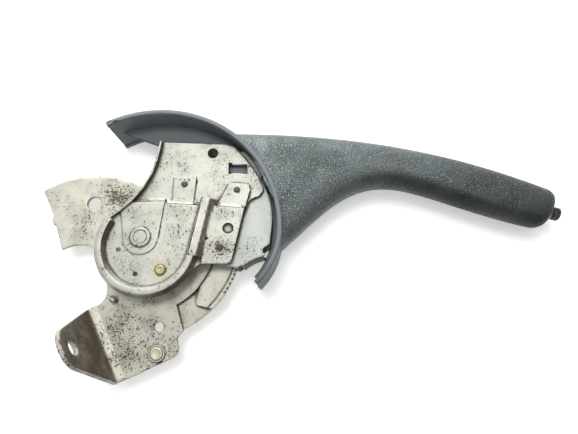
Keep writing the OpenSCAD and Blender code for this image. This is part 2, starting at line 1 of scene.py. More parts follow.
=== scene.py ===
"""Looks of a parking brake lever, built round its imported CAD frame.

The part is a pressed-steel bracket with a ratchet, a lever of pressed plates, a curved plastic
shield and a grained grip with a push-button release. Everything is in metres, in the CAD frame:
+X towards the button, +Z up, +Y away from the side that shows the pivot rivet.
"""

import logging
import math
from dataclasses import dataclass
from enum import Enum
from typing import Any, Callable, Optional, Sequence, Union

import bmesh
import bpy
import numpy as np
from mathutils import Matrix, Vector
from mathutils.bvhtree import BVHTree


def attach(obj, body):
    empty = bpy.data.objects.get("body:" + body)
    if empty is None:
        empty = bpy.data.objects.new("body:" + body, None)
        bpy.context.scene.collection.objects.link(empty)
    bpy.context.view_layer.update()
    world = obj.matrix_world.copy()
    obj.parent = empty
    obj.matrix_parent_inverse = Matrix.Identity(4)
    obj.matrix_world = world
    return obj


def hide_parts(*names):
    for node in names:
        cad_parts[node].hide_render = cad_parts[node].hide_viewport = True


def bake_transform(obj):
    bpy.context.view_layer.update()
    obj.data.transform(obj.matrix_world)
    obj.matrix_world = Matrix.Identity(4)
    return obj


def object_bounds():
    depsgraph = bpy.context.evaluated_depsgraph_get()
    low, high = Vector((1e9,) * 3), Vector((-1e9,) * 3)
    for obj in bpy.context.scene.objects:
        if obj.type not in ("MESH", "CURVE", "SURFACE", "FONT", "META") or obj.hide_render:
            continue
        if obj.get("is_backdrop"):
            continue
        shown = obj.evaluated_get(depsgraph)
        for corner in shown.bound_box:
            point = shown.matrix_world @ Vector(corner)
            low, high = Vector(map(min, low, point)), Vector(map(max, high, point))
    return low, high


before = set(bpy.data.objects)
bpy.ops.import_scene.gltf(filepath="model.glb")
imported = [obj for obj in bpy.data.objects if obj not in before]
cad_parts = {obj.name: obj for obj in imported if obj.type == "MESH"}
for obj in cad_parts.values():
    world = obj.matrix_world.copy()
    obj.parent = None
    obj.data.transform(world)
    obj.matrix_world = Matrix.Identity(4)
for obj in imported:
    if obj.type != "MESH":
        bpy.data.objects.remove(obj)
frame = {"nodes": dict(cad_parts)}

LOG = logging.getLogger("brake_lever")
MM = 0.001
# The lever's pivot, seen from the ear bolt hole that is the frame's origin
PIVOT = Vector((44.7, -0.5, -30.7)) * MM
DROOP = math.radians(16.0)
# Direction of the button's axis
FALL = Vector((math.cos(DROOP), 0.0, -math.sin(DROOP)))
ACROSS = Vector((0.0, 1.0, 0.0))
# The tube's bend and its radius, in millimetres from the pivot
BEND_X, TUBE_Z, TUBE_R = 189.30, 61.069, 10.0
# Edges that turn more than this stay crisp
CRISP = math.radians(38)
CRISP_TURNED = math.radians(40)
CRISP_SKIN = math.radians(50)

Material = bpy.types.Material
Mesh = bpy.types.Mesh
Piece = bpy.types.Object
Socket = bpy.types.NodeSocket
Vertex = bpy.types.MeshVertex
Range = tuple[float, float]
Point = tuple[float, float]
Level = Union[float, Socket]
Colour = Union[str, Socket]
UNIT: Range = (0.0, 1.0)


class Body(Enum):
    """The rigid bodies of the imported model."""

    BRACKET = "bracket"
    LEVER = "lever"
    PAWL = "pawl"
    BUTTON = "button"


class Edge(Enum):
    """How far a piece's edges are rounded, in millimetres."""

    SHARP = 0.12
    PRESSED = 0.35
    MOULDED = 0.6


def linear(code: str) -> tuple[float, float, float, float]:
    """Turns an sRGB hex colour into linear light.

    Args:
        code: The colour as six hex digits.

    Returns:
        Red, green, blue and an alpha of 1.
    """
    parts = [int(code[i:i + 2], 16) / 255 for i in (0, 2, 4)]
    red, green, blue = (p / 12.92 if p <= 0.04045 else ((p + 0.055) / 1.055) ** 2.4 for p in parts)
    return (red, green, blue, 1.0)


def ease(t: float) -> float:
    """A smooth step from 0 to 1."""
    s = min(1.0, max(0.0, t))
    return s * s * (3 - 2 * s)


class Nodes:
    """A node tree in the making, with short ways to add the nodes that are used most."""

    def __init__(self, tree: bpy.types.NodeTree) -> None:
        """Empties the tree."""
        self.tree = tree
        tree.nodes.clear()

    def add(self, kind: str, inputs: Optional[dict[Any, Any]] = None,
            **settings: Any) -> bpy.types.Node:
        """Adds a node with its settings and links.

        Args:
            kind: The node's type.
            inputs: Input name or number to a value, or to the socket it is linked from.
            settings: The node's own properties.

        Returns:
            The new node.
        """
        made = self.tree.nodes.new(kind)
        for name, value in settings.items():
            setattr(made, name, value)
        for key, value in (inputs or {}).items():
            if isinstance(value, Socket):
                self.tree.links.new(value, made.inputs[key])
            else:
                made.inputs[key].default_value = value
        return made

    def maths(self, operation: str, *terms: Level, clamp: bool = False) -> Socket:
        """Adds a sum of numbers or sockets and returns the result's socket."""
        return self.add("ShaderNodeMath", dict(enumerate(terms)), operation=operation,
            use_clamp=clamp).outputs[0]

    def ramp(self, value: Socket, start: Range, end: Range, smooth: bool = False) -> Socket:
        """Maps one range to another.

        Args:
            value: What is mapped.
            start: The range that it comes in.
            end: The range that it goes to.
            smooth: Whether it eases in and out.

        Returns:
            The mapped value's socket.
        """
        return self.add("ShaderNodeMapRange", {"Value": value, "From Min": start[0],
            "From Max": start[1], "To Min": end[0], "To Max": end[1]},
            interpolation_type="SMOOTHSTEP" if smooth else "LINEAR").outputs["Result"]

    def shows_background(self) -> Socket:
        """Finds the rays that see the white background.

        Returns:
            1 for rays from the eye and off or through the part, and 0 for others.
        """
        path = self.add("ShaderNodeLightPath").outputs
        seen = self.maths("MAXIMUM", path["Is Camera Ray"], path["Is Glossy Ray"])
        return self.maths("MAXIMUM", seen, path["Is Transmission Ray"])


class Shader(Nodes):
    """A node material in the making."""

    def __init__(self, name: str) -> None:
        """Starts the material with an output and the point on the piece.

        Args:
            name: The material's name.
        """
        self.made = bpy.data.materials.new(name)
        self.made.use_nodes = True
        super().__init__(self.made.node_tree)
        self.surface = self.add("ShaderNodeOutputMaterial").inputs["Surface"]
        self.place = self.add("ShaderNodeTexCoord").outputs["Object"]

    def noise(self, size_mm: float, detail: float = 2.0, rough: float = 0.5,
            at: Optional[Socket] = None, output: str = "Fac") -> Socket:
        """Adds noise.

        Args:
            size_mm: Width of its features.
            detail: How many finer noises it holds.
            rough: How strong these are.
            at: The point that it is read at, where that isn't the plain one.
            output: The output that is used.

        Returns:
            The noise's socket.
        """
        return self.add("ShaderNodeTexNoise", {"Vector": self.place if at is None else at,
            "Scale": 1.0 / (size_mm * MM), "Detail": detail, "Roughness": rough}).outputs[output]

    def mix(self, share: Level, first: Colour, second: Colour) -> Socket:
        """Mixes two colours, given as hex codes or sockets.

        Args:
            share: Share of the second colour.
            first: The first colour.
            second: The second colour.

        Returns:
            The mixed colour's socket.
        """
        one, two = (linear(c) if isinstance(c, str) else c for c in (first, second))
        return self.add("ShaderNodeMix", {"Factor": share, 6: one, 7: two},
            data_type="RGBA").outputs[2]

    def attribute(self, name: str) -> Socket:
        """Reads one of the piece's own attributes."""
        return self.add("ShaderNodeAttribute", attribute_name=name).outputs["Fac"]

    def bump(self, height: Socket, strength: Level, deep_mm: float) -> Socket:
        """Adds a bump of a depth in millimetres and returns its normal."""
        return self.add("ShaderNodeBump", {"Height": height, "Strength": strength,
            "Distance": deep_mm * MM}).outputs["Normal"]

    def finish(self, **inputs: Any) -> Material:
        """Closes the material with a principled shader.

        Args:
            inputs: Its inputs, named with underscores for spaces.

        Returns:
            The material.
        """
        named = {key.replace("_", " "): value for key, value in inputs.items()}
        shader = self.add("ShaderNodeBsdfPrincipled", named)
        self.tree.links.new(shader.outputs["BSDF"], self.surface)
        return self.made


@dataclass(frozen=True)
class ZincSteel:
    """Pressed mild steel, zinc plated and weathered: dull grey with rust specks and pits.

    The plating gives the eye a soft metallic grey; the pits are where it has failed. Corners hold
    brown dirt with painted shade, and slopes facing away from the light hold rust with painted
    shade. The piece's own attributes say where: dirt and shade, rust and shade, and pits.
    """

    name: str
    light: str
    tone: str
    speck: str = "4a4339"
    dirt_and_shade: str = "3a3229"
    rust_and_shade: str = "453521"
    blotch_mm: float = 16.0
    blotch_range: Range = (0.36, 0.68)
    tone_share: float = 0.55
    speck_mm: float = 0.95
    speck_share: float = 0.42
    speck_cover: float = 0.94
    speck_edge: float = 0.06
    blotch_push: float = 0.34
    cluster_push: float = 0.09
    rust_shade_mottle: Range = (0.7, 1.3)
    rust_shade_thick: Range = (0.7, 1.15)
    dirt_shade_range: Range = (0.44, 1.25)
    dirt_shade_cover: float = 0.9
    rough: float = 0.46
    worn_rough: float = 0.35
    metal: float = 0.42
    bump: float = 0.35
    bump_mm: float = 0.25
    stain_at: Optional[tuple[float, float, float]] = None
    stain: str = "b0a76a"
    stain_mm: Range = (9.0, 3.6)
    stain_cover: float = 0.35

    def specks(self, shader: Shader, fine: Socket, blotch: Socket) -> Socket:
        """Adds the pits: noise of two sizes, cut at a level that clusters push up and down.

        Args:
            shader: The material in the making.
            fine: The fine noise.
            blotch: The broad noise.

        Returns:
            How far each point is pitted.
        """
        large = shader.noise(1.9 * self.speck_mm)
        both = shader.maths("MAXIMUM", fine, large)
        spread = shader.maths("MULTIPLY_ADD", blotch, self.blotch_push, both)
        level = shader.maths("MULTIPLY_ADD", shader.attribute("pits"), self.cluster_push, spread)
        low = 1.0 - 0.36 * self.speck_share
        return shader.ramp(level, (low, low + self.speck_edge), (0.0, self.speck_cover), True)

    def build(self) -> Material:
        """Makes the node material.

        Returns:
            The material.
        """
        shader = Shader(self.name)
        blotch = shader.noise(self.blotch_mm, 5.0, 0.6)
        fine = shader.noise(self.speck_mm, 3.0, 0.62)
        wide = shader.ramp(blotch, self.blotch_range, (0.0, self.tone_share), True)
        colour = shader.mix(wide, self.light, self.tone)
        if self.stain_at is not None:
            away = shader.add("ShaderNodeVectorMath", {0: shader.place, 1: self.stain_at},
                operation="DISTANCE").outputs["Value"]
            ring = (self.stain_mm[0] * MM, self.stain_mm[1] * MM)
            colour = shader.mix(shader.ramp(away, ring, (0.0, self.stain_cover), True), colour,
                self.stain)
        specks = self.specks(shader, fine, blotch)
        # Rust film with painted shade on slopes facing away from the light and on the flange, mottled
        # by the noises
        thick = shader.ramp(shader.maths("ADD", fine, blotch), self.rust_shade_mottle, self.rust_shade_thick)
        rust_and_shade = shader.maths("MULTIPLY", shader.attribute("rust_and_shade"), thick, clamp=True)
        colour = shader.mix(specks, shader.mix(rust_and_shade, colour, self.rust_and_shade), self.speck)
        # Dirt and painted shade in corners, broken up by the fine noise
        held = shader.attribute("dirt_and_shade")
        patchy = shader.maths("MULTIPLY_ADD", held, fine, held)
        dirt_and_shade = shader.ramp(patchy, self.dirt_shade_range, (0.0, self.dirt_shade_cover))
        colour = shader.mix(dirt_and_shade, colour, self.dirt_and_shade)
        worn = shader.maths("MAXIMUM", shader.maths("MAXIMUM", specks, dirt_and_shade), rust_and_shade)
        height = shader.maths("SUBTRACT", fine, specks)
        dull = min(0.95, self.rough + self.worn_rough)
        return shader.finish(Base_Color=colour, Roughness=shader.ramp(worn, UNIT, (self.rough, dull)),
            Metallic=shader.ramp(worn, UNIT, (self.metal, 0.0)),
            Normal=shader.bump(height, self.bump, self.bump_mm))


@dataclass(frozen=True)
class MouldedPlastic:
    """Injection-moulded polypropylene with a fine spark-eroded texture: matt, with soft scuffs.

    Its lower end, below the clean height, is darkened with painted shade, and its corners hold dark
    dirt with painted shade.
    """

    name: str
    colour: str
    scuff: str
    low_shade: str = "474b49"
    dirt_and_shade: str = "24272a"
    scuff_mm: float = 22.0
    scuff_range: Range = (0.45, 0.75)
    scuff_cover: float = 0.5
    low_shade_range: Range = (PIVOT.z - 8 * MM, PIVOT.z - 44 * MM)
    low_shade_cover: float = 0.85
    dirt_shade_range: Range = (0.45, 0.95)
    dirt_shade_cover: float = 0.8
    grain_mm: float = 0.9
    rough_range: Range = (0.47, 0.67)
    bump: float = 0.25
    bump_mm: float = 0.15
    ior: float = 1.49

    def build(self) -> Material:
        """Makes the node material.

        Returns:
            The material.
        """
        shader = Shader(self.name)
        cloud = shader.noise(self.scuff_mm, 4.0, 0.6)
        marks = shader.ramp(cloud, self.scuff_range, (0.0, self.scuff_cover), True)
        colour = shader.mix(marks, self.colour, self.scuff)
        # Painted shade, darker towards the shield's lower end
        height = shader.add("ShaderNodeSeparateXYZ", {0: shader.place}).outputs["Z"]
        film = shader.ramp(height, self.low_shade_range, (0.0, self.low_shade_cover), True)
        colour = shader.mix(film, colour, self.low_shade)
        # Dirt and painted shade in corners
        corner = shader.ramp(shader.attribute("dirt_and_shade"), self.dirt_shade_range, (0.0, self.dirt_shade_cover))
        colour = shader.mix(corner, colour, self.dirt_and_shade)
        return shader.finish(Base_Color=colour, Roughness=shader.ramp(cloud, UNIT, self.rough_range),
            IOR=self.ior, Normal=shader.bump(shader.noise(self.grain_mm), self.bump, self.bump_mm))


@dataclass(frozen=True)
class GrainedSkin:
    """Soft PVC skin with an embossed leather grain: pebbles parted by fine creases, low sheen.

    Painted shade darkens the underside and takes its sheen away, and the skin is darker towards the
    button end, as its own attribute says; painted glints pale the grain's crests in patches.
    """

    name: str
    colour: str
    crease: str
    shade_and_dark_end: str = "1f2022"
    glint: str = "98a3a1"
    pebble_mm: float = 2.3
    pebble_edge: float = 0.22
    warp_mm: float = 3.2
    warp_share: float = 0.0011
    fine_mm: float = 0.8
    fine_share: float = 0.2
    crest_mm: float = 1.7
    patch_mm: float = 18.0
    patch_push: float = 0.3
    patch_range: Range = (0.35, 0.65)
    glint_range: Range = (0.7, 0.84)
    glint_cover: float = 0.6
    wear_mm: float = 35.0
    wear_range: Range = (0.3, 0.7)
    darkening_cover: Range = (0.8, 1.0)
    rough_range: Range = (0.22, 0.4)
    bump_range: Range = (0.25, 1.0)
    bump_mm: float = 0.85
    sheen_range: Range = (0.55, 0.03)
    ior: float = 1.53

    def build(self) -> Material:
        """Makes the node material.

        Returns:
            The material.
        """
        shader = Shader(self.name)
        warp = shader.noise(self.warp_mm, output="Color")
        bent = shader.add("ShaderNodeMix", {"Factor": self.warp_share, 4: shader.place, 5: warp},
            data_type="VECTOR").outputs[1]
        cells = shader.add("ShaderNodeTexVoronoi", {"Vector": bent,
            "Scale": 1.0 / (self.pebble_mm * MM), "Randomness": 0.95},
            feature="DISTANCE_TO_EDGE").outputs["Distance"]
        pebble = shader.ramp(cells, (0.0, self.pebble_edge), UNIT, True)
        colour = shader.mix(pebble, self.crease, self.colour)
        height = shader.maths("MULTIPLY_ADD", shader.noise(self.fine_mm), self.fine_share, pebble)
        # Painted glints: pale specks on the grain's crests, in patches
        patch = shader.noise(self.patch_mm)
        crest = shader.noise(self.crest_mm, 3.0, 0.7, at=bent)
        glint_level = shader.maths("MULTIPLY_ADD", patch, self.patch_push, crest)
        pale = shader.ramp(glint_level, self.glint_range, (0.0, self.glint_cover), True)
        colour = shader.mix(pale, colour, self.glint)
        # Painted shade darkens the underside and takes its sheen away; the skin is also darker
        # towards the button end
        wear = shader.noise(self.wear_mm, 3.0)
        patchy = shader.ramp(wear, self.wear_range, self.darkening_cover)
        film = shader.maths("MULTIPLY", shader.attribute("shade_and_dark_end"), patchy)
        colour = shader.mix(film, colour, self.shade_and_dark_end)
        depth = shader.ramp(patch, self.patch_range, self.bump_range)
        return shader.finish(Base_Color=colour, IOR=self.ior,
            Roughness=shader.ramp(wear, self.wear_range, self.rough_range),
            Specular_IOR_Level=shader.ramp(film, UNIT, self.sheen_range),
            Normal=shader.bump(height, depth, self.bump_mm))


@dataclass(frozen=True)
class GlossPlastic:
    """Moulded ABS with a polished face: deep black with fine handling marks."""

    name: str
    colour: str
    marks_mm: float = 1.8
    marks_range: Range = (0.4, 0.7)
    rough_range: Range = (0.18, 0.38)
    ior: float = 1.54

    def build(self) -> Material:
        """Makes the node material.

        Returns:
            The material.
        """
        shader = Shader(self.name)
        marks = shader.noise(self.marks_mm, 4.0)
        return shader.finish(Base_Color=linear(self.colour), IOR=self.ior,
            Roughness=shader.ramp(marks, self.marks_range, self.rough_range))


@dataclass(frozen=True)
class BrightPlate:
    """Bright nickel-chrome plating with a mirror skin that fine marks break up."""

    name: str
    colour: str
    marks_mm: float = 0.7
    rough_range: Range = (0.16, 0.36)

    def build(self) -> Material:
        """Makes the node material.

        Returns:
            The material.
        """
        shader = Shader(self.name)
        rough = shader.ramp(shader.noise(self.marks_mm), UNIT, self.rough_range)
        return shader.finish(Base_Color=linear(self.colour), Roughness=rough, Metallic=1.0)


class Finishes:
    """Every finish of the part, each made once."""

    def __init__(self) -> None:
        """Builds the materials."""
        stained = (PIVOT.x + 16.6 * MM, PIVOT.y - 15.5 * MM, PIVOT.z - 24.8 * MM)
        self.cheek = ZincSteel("zinc_steel_cheek", "b9b9ae", "94938a", "3b352c", speck_share=0.54,
            stain_at=stained).build()
        self.bracket = ZincSteel("zinc_steel_bracket", "c9c7b9", "a29f90", "453e33",
            speck_share=0.51, tone_share=0.7).build()
        self.arm = ZincSteel("zinc_steel_arm", "aaaea8", "9ca09a").build()
        self.ratchet = ZincSteel("greased_carbon_steel", "c2c0b2", "9f9d93", "5f5749",
            speck_share=0.46, rough=0.42, metal=0.4).build()
        self.rivet = ZincSteel("blackened_rivet_steel", "4b4740", "35312b", speck_share=0.5,
            rough=0.45, metal=0.5).build()
        self.stud = ZincSteel("pale_yellow_zinc_steel", "cac5ae", "b1ab90", speck_share=0.1,
            rough=0.4, metal=0.4).build()
        self.yellow = ZincSteel("yellow_zinc_steel", "b0a776", "918855", speck_share=0.1,
            rough=0.4, metal=0.4).build()
        self.shield = MouldedPlastic("polypropylene_slate", "7a8084", "858b8e").build()
        self.grip = GrainedSkin("pvc_skin_leather_grain", "66706f", "535c5d").build()
        self.button = GlossPlastic("abs_gloss_black", "0b0b0d").build()
        self.collar = BrightPlate("chrome_plated_ring", "dfe2e4").build()


def link(name: str, data: Any) -> Piece:
    """Puts a mesh, lamp or camera into the scene.

    Args:
        name: The object's name.
        data: What it holds.

    Returns:
        The object, at the origin.
    """
    made = bpy.data.objects.new(name, data)
    bpy.context.scene.collection.objects.link(made)
    return made


def write(mesh: Mesh, label: str, values: Sequence[float]) -> None:
    """Writes one number for each point of a mesh as an attribute."""
    mesh.attributes.new(label, "FLOAT", "POINT").data.foreach_set("value", values)


def settle(piece: Piece) -> Piece:
    """Turns a piece's live modifiers into its plain mesh.

    Args:
        piece: The object with modifiers.

    Returns:
        The same object, with no modifier left.
    """
    graph = bpy.context.evaluated_depsgraph_get()
    mesh = bpy.data.meshes.new_from_object(piece.evaluated_get(graph),
        preserve_all_data_layers=True, depsgraph=graph)
    piece.modifiers.clear()
    piece.data = mesh
    return piece


class Shaper(Nodes):
    """A geometry node group in the making."""

    def __init__(self, name: str, inputs: dict[str, str]) -> None:
        """Starts the group.

        Args:
            name: The group's name.
            inputs: The name and type of each input beside the geometry and the finish.
        """
        super().__init__(bpy.data.node_groups.new(name, "GeometryNodeTree"))
        self.face = self.tree.interface
        for label, kind in {"Geometry": "Geometry", **inputs, "Finish": "Material"}.items():
            self.face.new_socket(label, in_out="INPUT", socket_type="NodeSocket" + kind)
        self.face.new_socket("Geometry", in_out="OUTPUT", socket_type="NodeSocketGeometry")
        self.given = self.add("NodeGroupInput").outputs

    def run(self, geometry: Socket, piece: Piece, values: dict[str, Any]) -> None:
        """Closes the group, runs it on a piece and keeps the mesh that it makes.

        Args:
            geometry: What the group has made.
            piece: The piece.
            values: The value of each input, by name.
        """
        done = self.add("GeometryNodeSetMaterial", {"Geometry": geometry,
            "Material": self.given["Finish"]})
        self.add("NodeGroupOutput", {"Geometry": done.outputs["Geometry"]})
        made = piece.modifiers.new(self.tree.name, "NODES")
        made.node_group = self.tree
        for item in self.face.items_tree:
            if item.in_out == "INPUT" and item.name in values:
                made[item.identifier] = values[item.name]
        settle(piece)


@dataclass(frozen=True)
class Wear:
    """Where a piece has rusted and takes painted shade: clusters of pits, and slopes facing away from
    the light and a flange, both with rust and painted shade.
    """

    clusters: Sequence[tuple[float, float, float, float]] = ()
    rust_shade_slope: float = 0.0
    flange: float = 0.0
    rust_shade_way: Vector = Vector((0.9, 0.0, -0.44))
    rust_shade_from: float = 0.25
    flange_way: Vector = Vector((0.891, 0.0, 0.454))
    flange_gain: float = 1.7
    flange_start_mm: Range = (1.0, 4.0)
    flange_fade_mm: Range = (20.0, 55.0)
    flange_fade: float = 0.25

    @staticmethod
    def share(value: float, span: Range) -> float:
        """How far a value has come through a span, from 0 to 1."""
        return min(1.0, max(0.0, value - span[0]) / (span[1] - span[0]))

    def pits(self, vertex: Vertex) -> float:
        """How crowded the pits are at a point, from the clusters' X, Z, radius and strength."""
        at = (vertex.co - PIVOT) / MM
        return sum(gain * math.exp(-((at.x - x) ** 2 + (at.z - z) ** 2) / (r * r))
            for x, z, r, gain in self.clusters)

    def film(self, vertex: Vertex) -> float:
        """How thick the rust film with painted shade is at a point, from the way the surface faces.

        Args:
            vertex: The point.

        Returns:
            The thickness, from 0 to 1.
        """
        # Rust and painted shade on slopes that face away from the light
        slope = max(0.0, vertex.normal.dot(self.rust_shade_way) - self.rust_shade_from) * self.rust_shade_slope
        nearer = -vertex.co.y / MM
        depth = self.share(nearer, self.flange_start_mm)
        fade = 1.0 - self.flange_fade * self.share(nearer, self.flange_fade_mm)
        facing = self.share(self.flange_gain * vertex.normal.dot(self.flange_way), UNIT)
        return min(1.0, slope + self.flange * depth * fade * facing)


class ShadeAndDirtMap:
    """Painted shade and dirt: how closed-in each point of a piece is, from rays against every solid
    at rest.
    """

    RAYS = 18
    REACH = 7.0 * MM
    LIFT = 0.2 * MM
    GAIN = 2.2
    # Sine of the height of the lowest ray, and how much higher the highest one is
    LOWEST = 0.12
    SPREAD = 0.85

    def __init__(self, nodes: dict[str, Piece], left_out: Sequence[str]) -> None:
        """Gathers the solids into one ray tree.

        Args:
            nodes: The CAD nodes.
            left_out: Nodes that dirt and painted shade don't gather against.
        """
        points: list[Vector] = []
        faces: list[list[int]] = []
        for name, node in nodes.items():
            if name in left_out:
                continue
            start = len(points)
            points.extend(v.co.copy() for v in node.data.vertices)
            faces.extend([start + i for i in p.vertices] for p in node.data.polygons)
        self.tree = BVHTree.FromPolygons(points, faces)
        golden = math.pi * (3 - math.sqrt(5))
        self.rays = []
        for i in range(self.RAYS):
            up = self.LOWEST + self.SPREAD * (i + 0.5) / self.RAYS
            side = math.sqrt(1 - up * up)
            self.rays.append(Vector((side * math.cos(golden * i), side * math.sin(golden * i), up)))

    def held(self, vertex: Vertex) -> float:
        """How much dirt and painted shade a point holds.

        Args:
            vertex: The point.

        Returns:
            The amount, from 0 to 1.
        """
        turn = Vector((0, 0, 1)).rotation_difference(vertex.normal)
        start = vertex.co + vertex.normal * self.LIFT
        held = 0.0
        for ray in self.rays:
            far = self.tree.ray_cast(start, turn @ ray, self.REACH)[3]
            if far is not None:
                held += 1.0 - far / self.REACH
        return min(1.0, self.GAIN * held / self.RAYS)

    def paint(self, mesh: Mesh, wear: Wear) -> None:
        """Writes the dirt-and-shade, rust-and-shade and pits attributes.

        Args:
            mesh: The piece's finished mesh.
            wear: Where the piece has rusted and takes painted shade.
        """
        for label, rule in (("dirt_and_shade", self.held), ("rust_and_shade", wear.film), ("pits", wear.pits)):
            write(mesh, label, [rule(vertex) for vertex in mesh.vertices])


def loft(name: str, rings: Sequence[Sequence[Vector]]) -> Mesh:
    """Skins a row of rings that all have the same number of points, the last joined to the first.

    Args:
        name: The mesh's name.
        rings: The rings, each a closed loop of points.

    Returns:
        The mesh, with its faces turned outwards.
    """
    count, sides = len(rings), len(rings[0])
    points = [p for ring in rings for p in ring]
    faces = []
    for i in range(count):
        for j in range(sides):
            k, m = (j + 1) % sides, (i + 1) % count
            faces.append((i * sides + j, i * sides + k, m * sides + k, m * sides + j))
    mesh = bpy.data.meshes.new(name)
    mesh.from_pydata(points, [], faces)
    work = bmesh.new()
    work.from_mesh(mesh)
    bmesh.ops.remove_doubles(work, verts=work.verts, dist=1e-7)
    bmesh.ops.recalc_face_normals(work, faces=work.faces)
    work.to_mesh(mesh)
    work.free()
    mesh.shade_smooth()
    return mesh


def lathe(name: str, profile: Sequence[Point], start: Vector, axis: Vector,
        sides: int = 64) -> Mesh:
    """Turns a closed profile about an axis.

    Args:
        name: The mesh's name.
        profile: Distance along the axis and radius of each corner, in millimetres.
        start: The point of the axis that distances count from.
        axis: The axis' direction.
        sides: How many sides the turned shape has.

    Returns:
        The mesh.
    """
    across = Vector((1.0, 0.0, 0.0)) if abs(axis.y) > 0.9 else ACROSS
    other = axis.cross(across)
    rings = []
    for j in range(sides):
        turn = 2 * math.pi * j / sides
        out = math.cos(turn) * across + math.sin(turn) * other
        rings.append([start + along * MM * axis + radius * MM * out for along, radius in profile])
    mesh = loft(name, rings)
    mesh.set_sharp_from_angle(angle=CRISP_TURNED)
    return mesh


@dataclass(frozen=True)
class Dress:
    """A piece's finish, the body that it rides on and the record's material slot."""

    material: Material
    body: Body
    slot: str


@dataclass(frozen=True)
class Reach:
    """The far body that a piece reaches to, and the points where it starts and ends."""

    body: Body
    start: Vector
    end: Vector


@dataclass(frozen=True)
class TurnedPin:
    """A pin across the lever: its near end's place, its profile along Y and its grooves, dark with
    dirt and painted shade.
    """

    name: str
    node: str
    near: tuple[float, float, float]
    profile: Sequence[Point]
    grooves: Sequence[float]
    groove_half: float = 0.1
    groove_dirt_shade: float = 0.95


STUD = TurnedPin("switch_stud", "bracket_stud", (13.9, -2.1, -85.3), (
    (0.25, 0.0), (0.25, 2.9), (0.15, 3.1), (0.0, 3.4), (0.0, 4.1), (0.3, 4.5), (0.95, 4.6),
    (1.15, 4.8), (1.15, 5.1), (1.0, 5.4), (1.05, 5.8), (1.5, 6.15), (2.6, 6.15), (2.6, 4.0),
    (6.1, 4.0), (6.1, 6.15), (7.3, 6.15), (7.7, 5.7), (7.7, 0.0)), (3.1, 4.8, 5.1))
PIVOT_RIVET = TurnedPin("pivot_rivet", "pivot_pin", (0.0, -17.0, 0.0), (
    (0.1, 0.0), (0.1, 4.7), (0.3, 4.9), (0.3, 5.2), (0.08, 5.4), (0.0, 5.7), (0.0, 7.0), (0.3, 7.5),
    (0.8, 7.7), (0.8, 6.0), (31.0, 6.0), (31.0, 8.5), (32.8, 8.5), (33.2, 8.1), (33.2, 0.0)),
    (4.9, 5.2, 7.7))
CABLE_PIN = TurnedPin("cable_hook_pin", "cable_pin", (16.6, -16.9, -24.8), (
    (0.2, 0.0), (0.2, 1.5), (0.15, 1.7), (0.0, 2.0), (0.0, 2.9), (0.4, 3.5), (0.9, 3.8), (1.4, 3.8),
    (1.4, 3.0), (3.4, 3.0), (3.4, 4.5), (4.9, 4.5), (4.9, 3.0), (16.2, 3.0), (16.2, 0.0)),
    (1.7, 3.8))


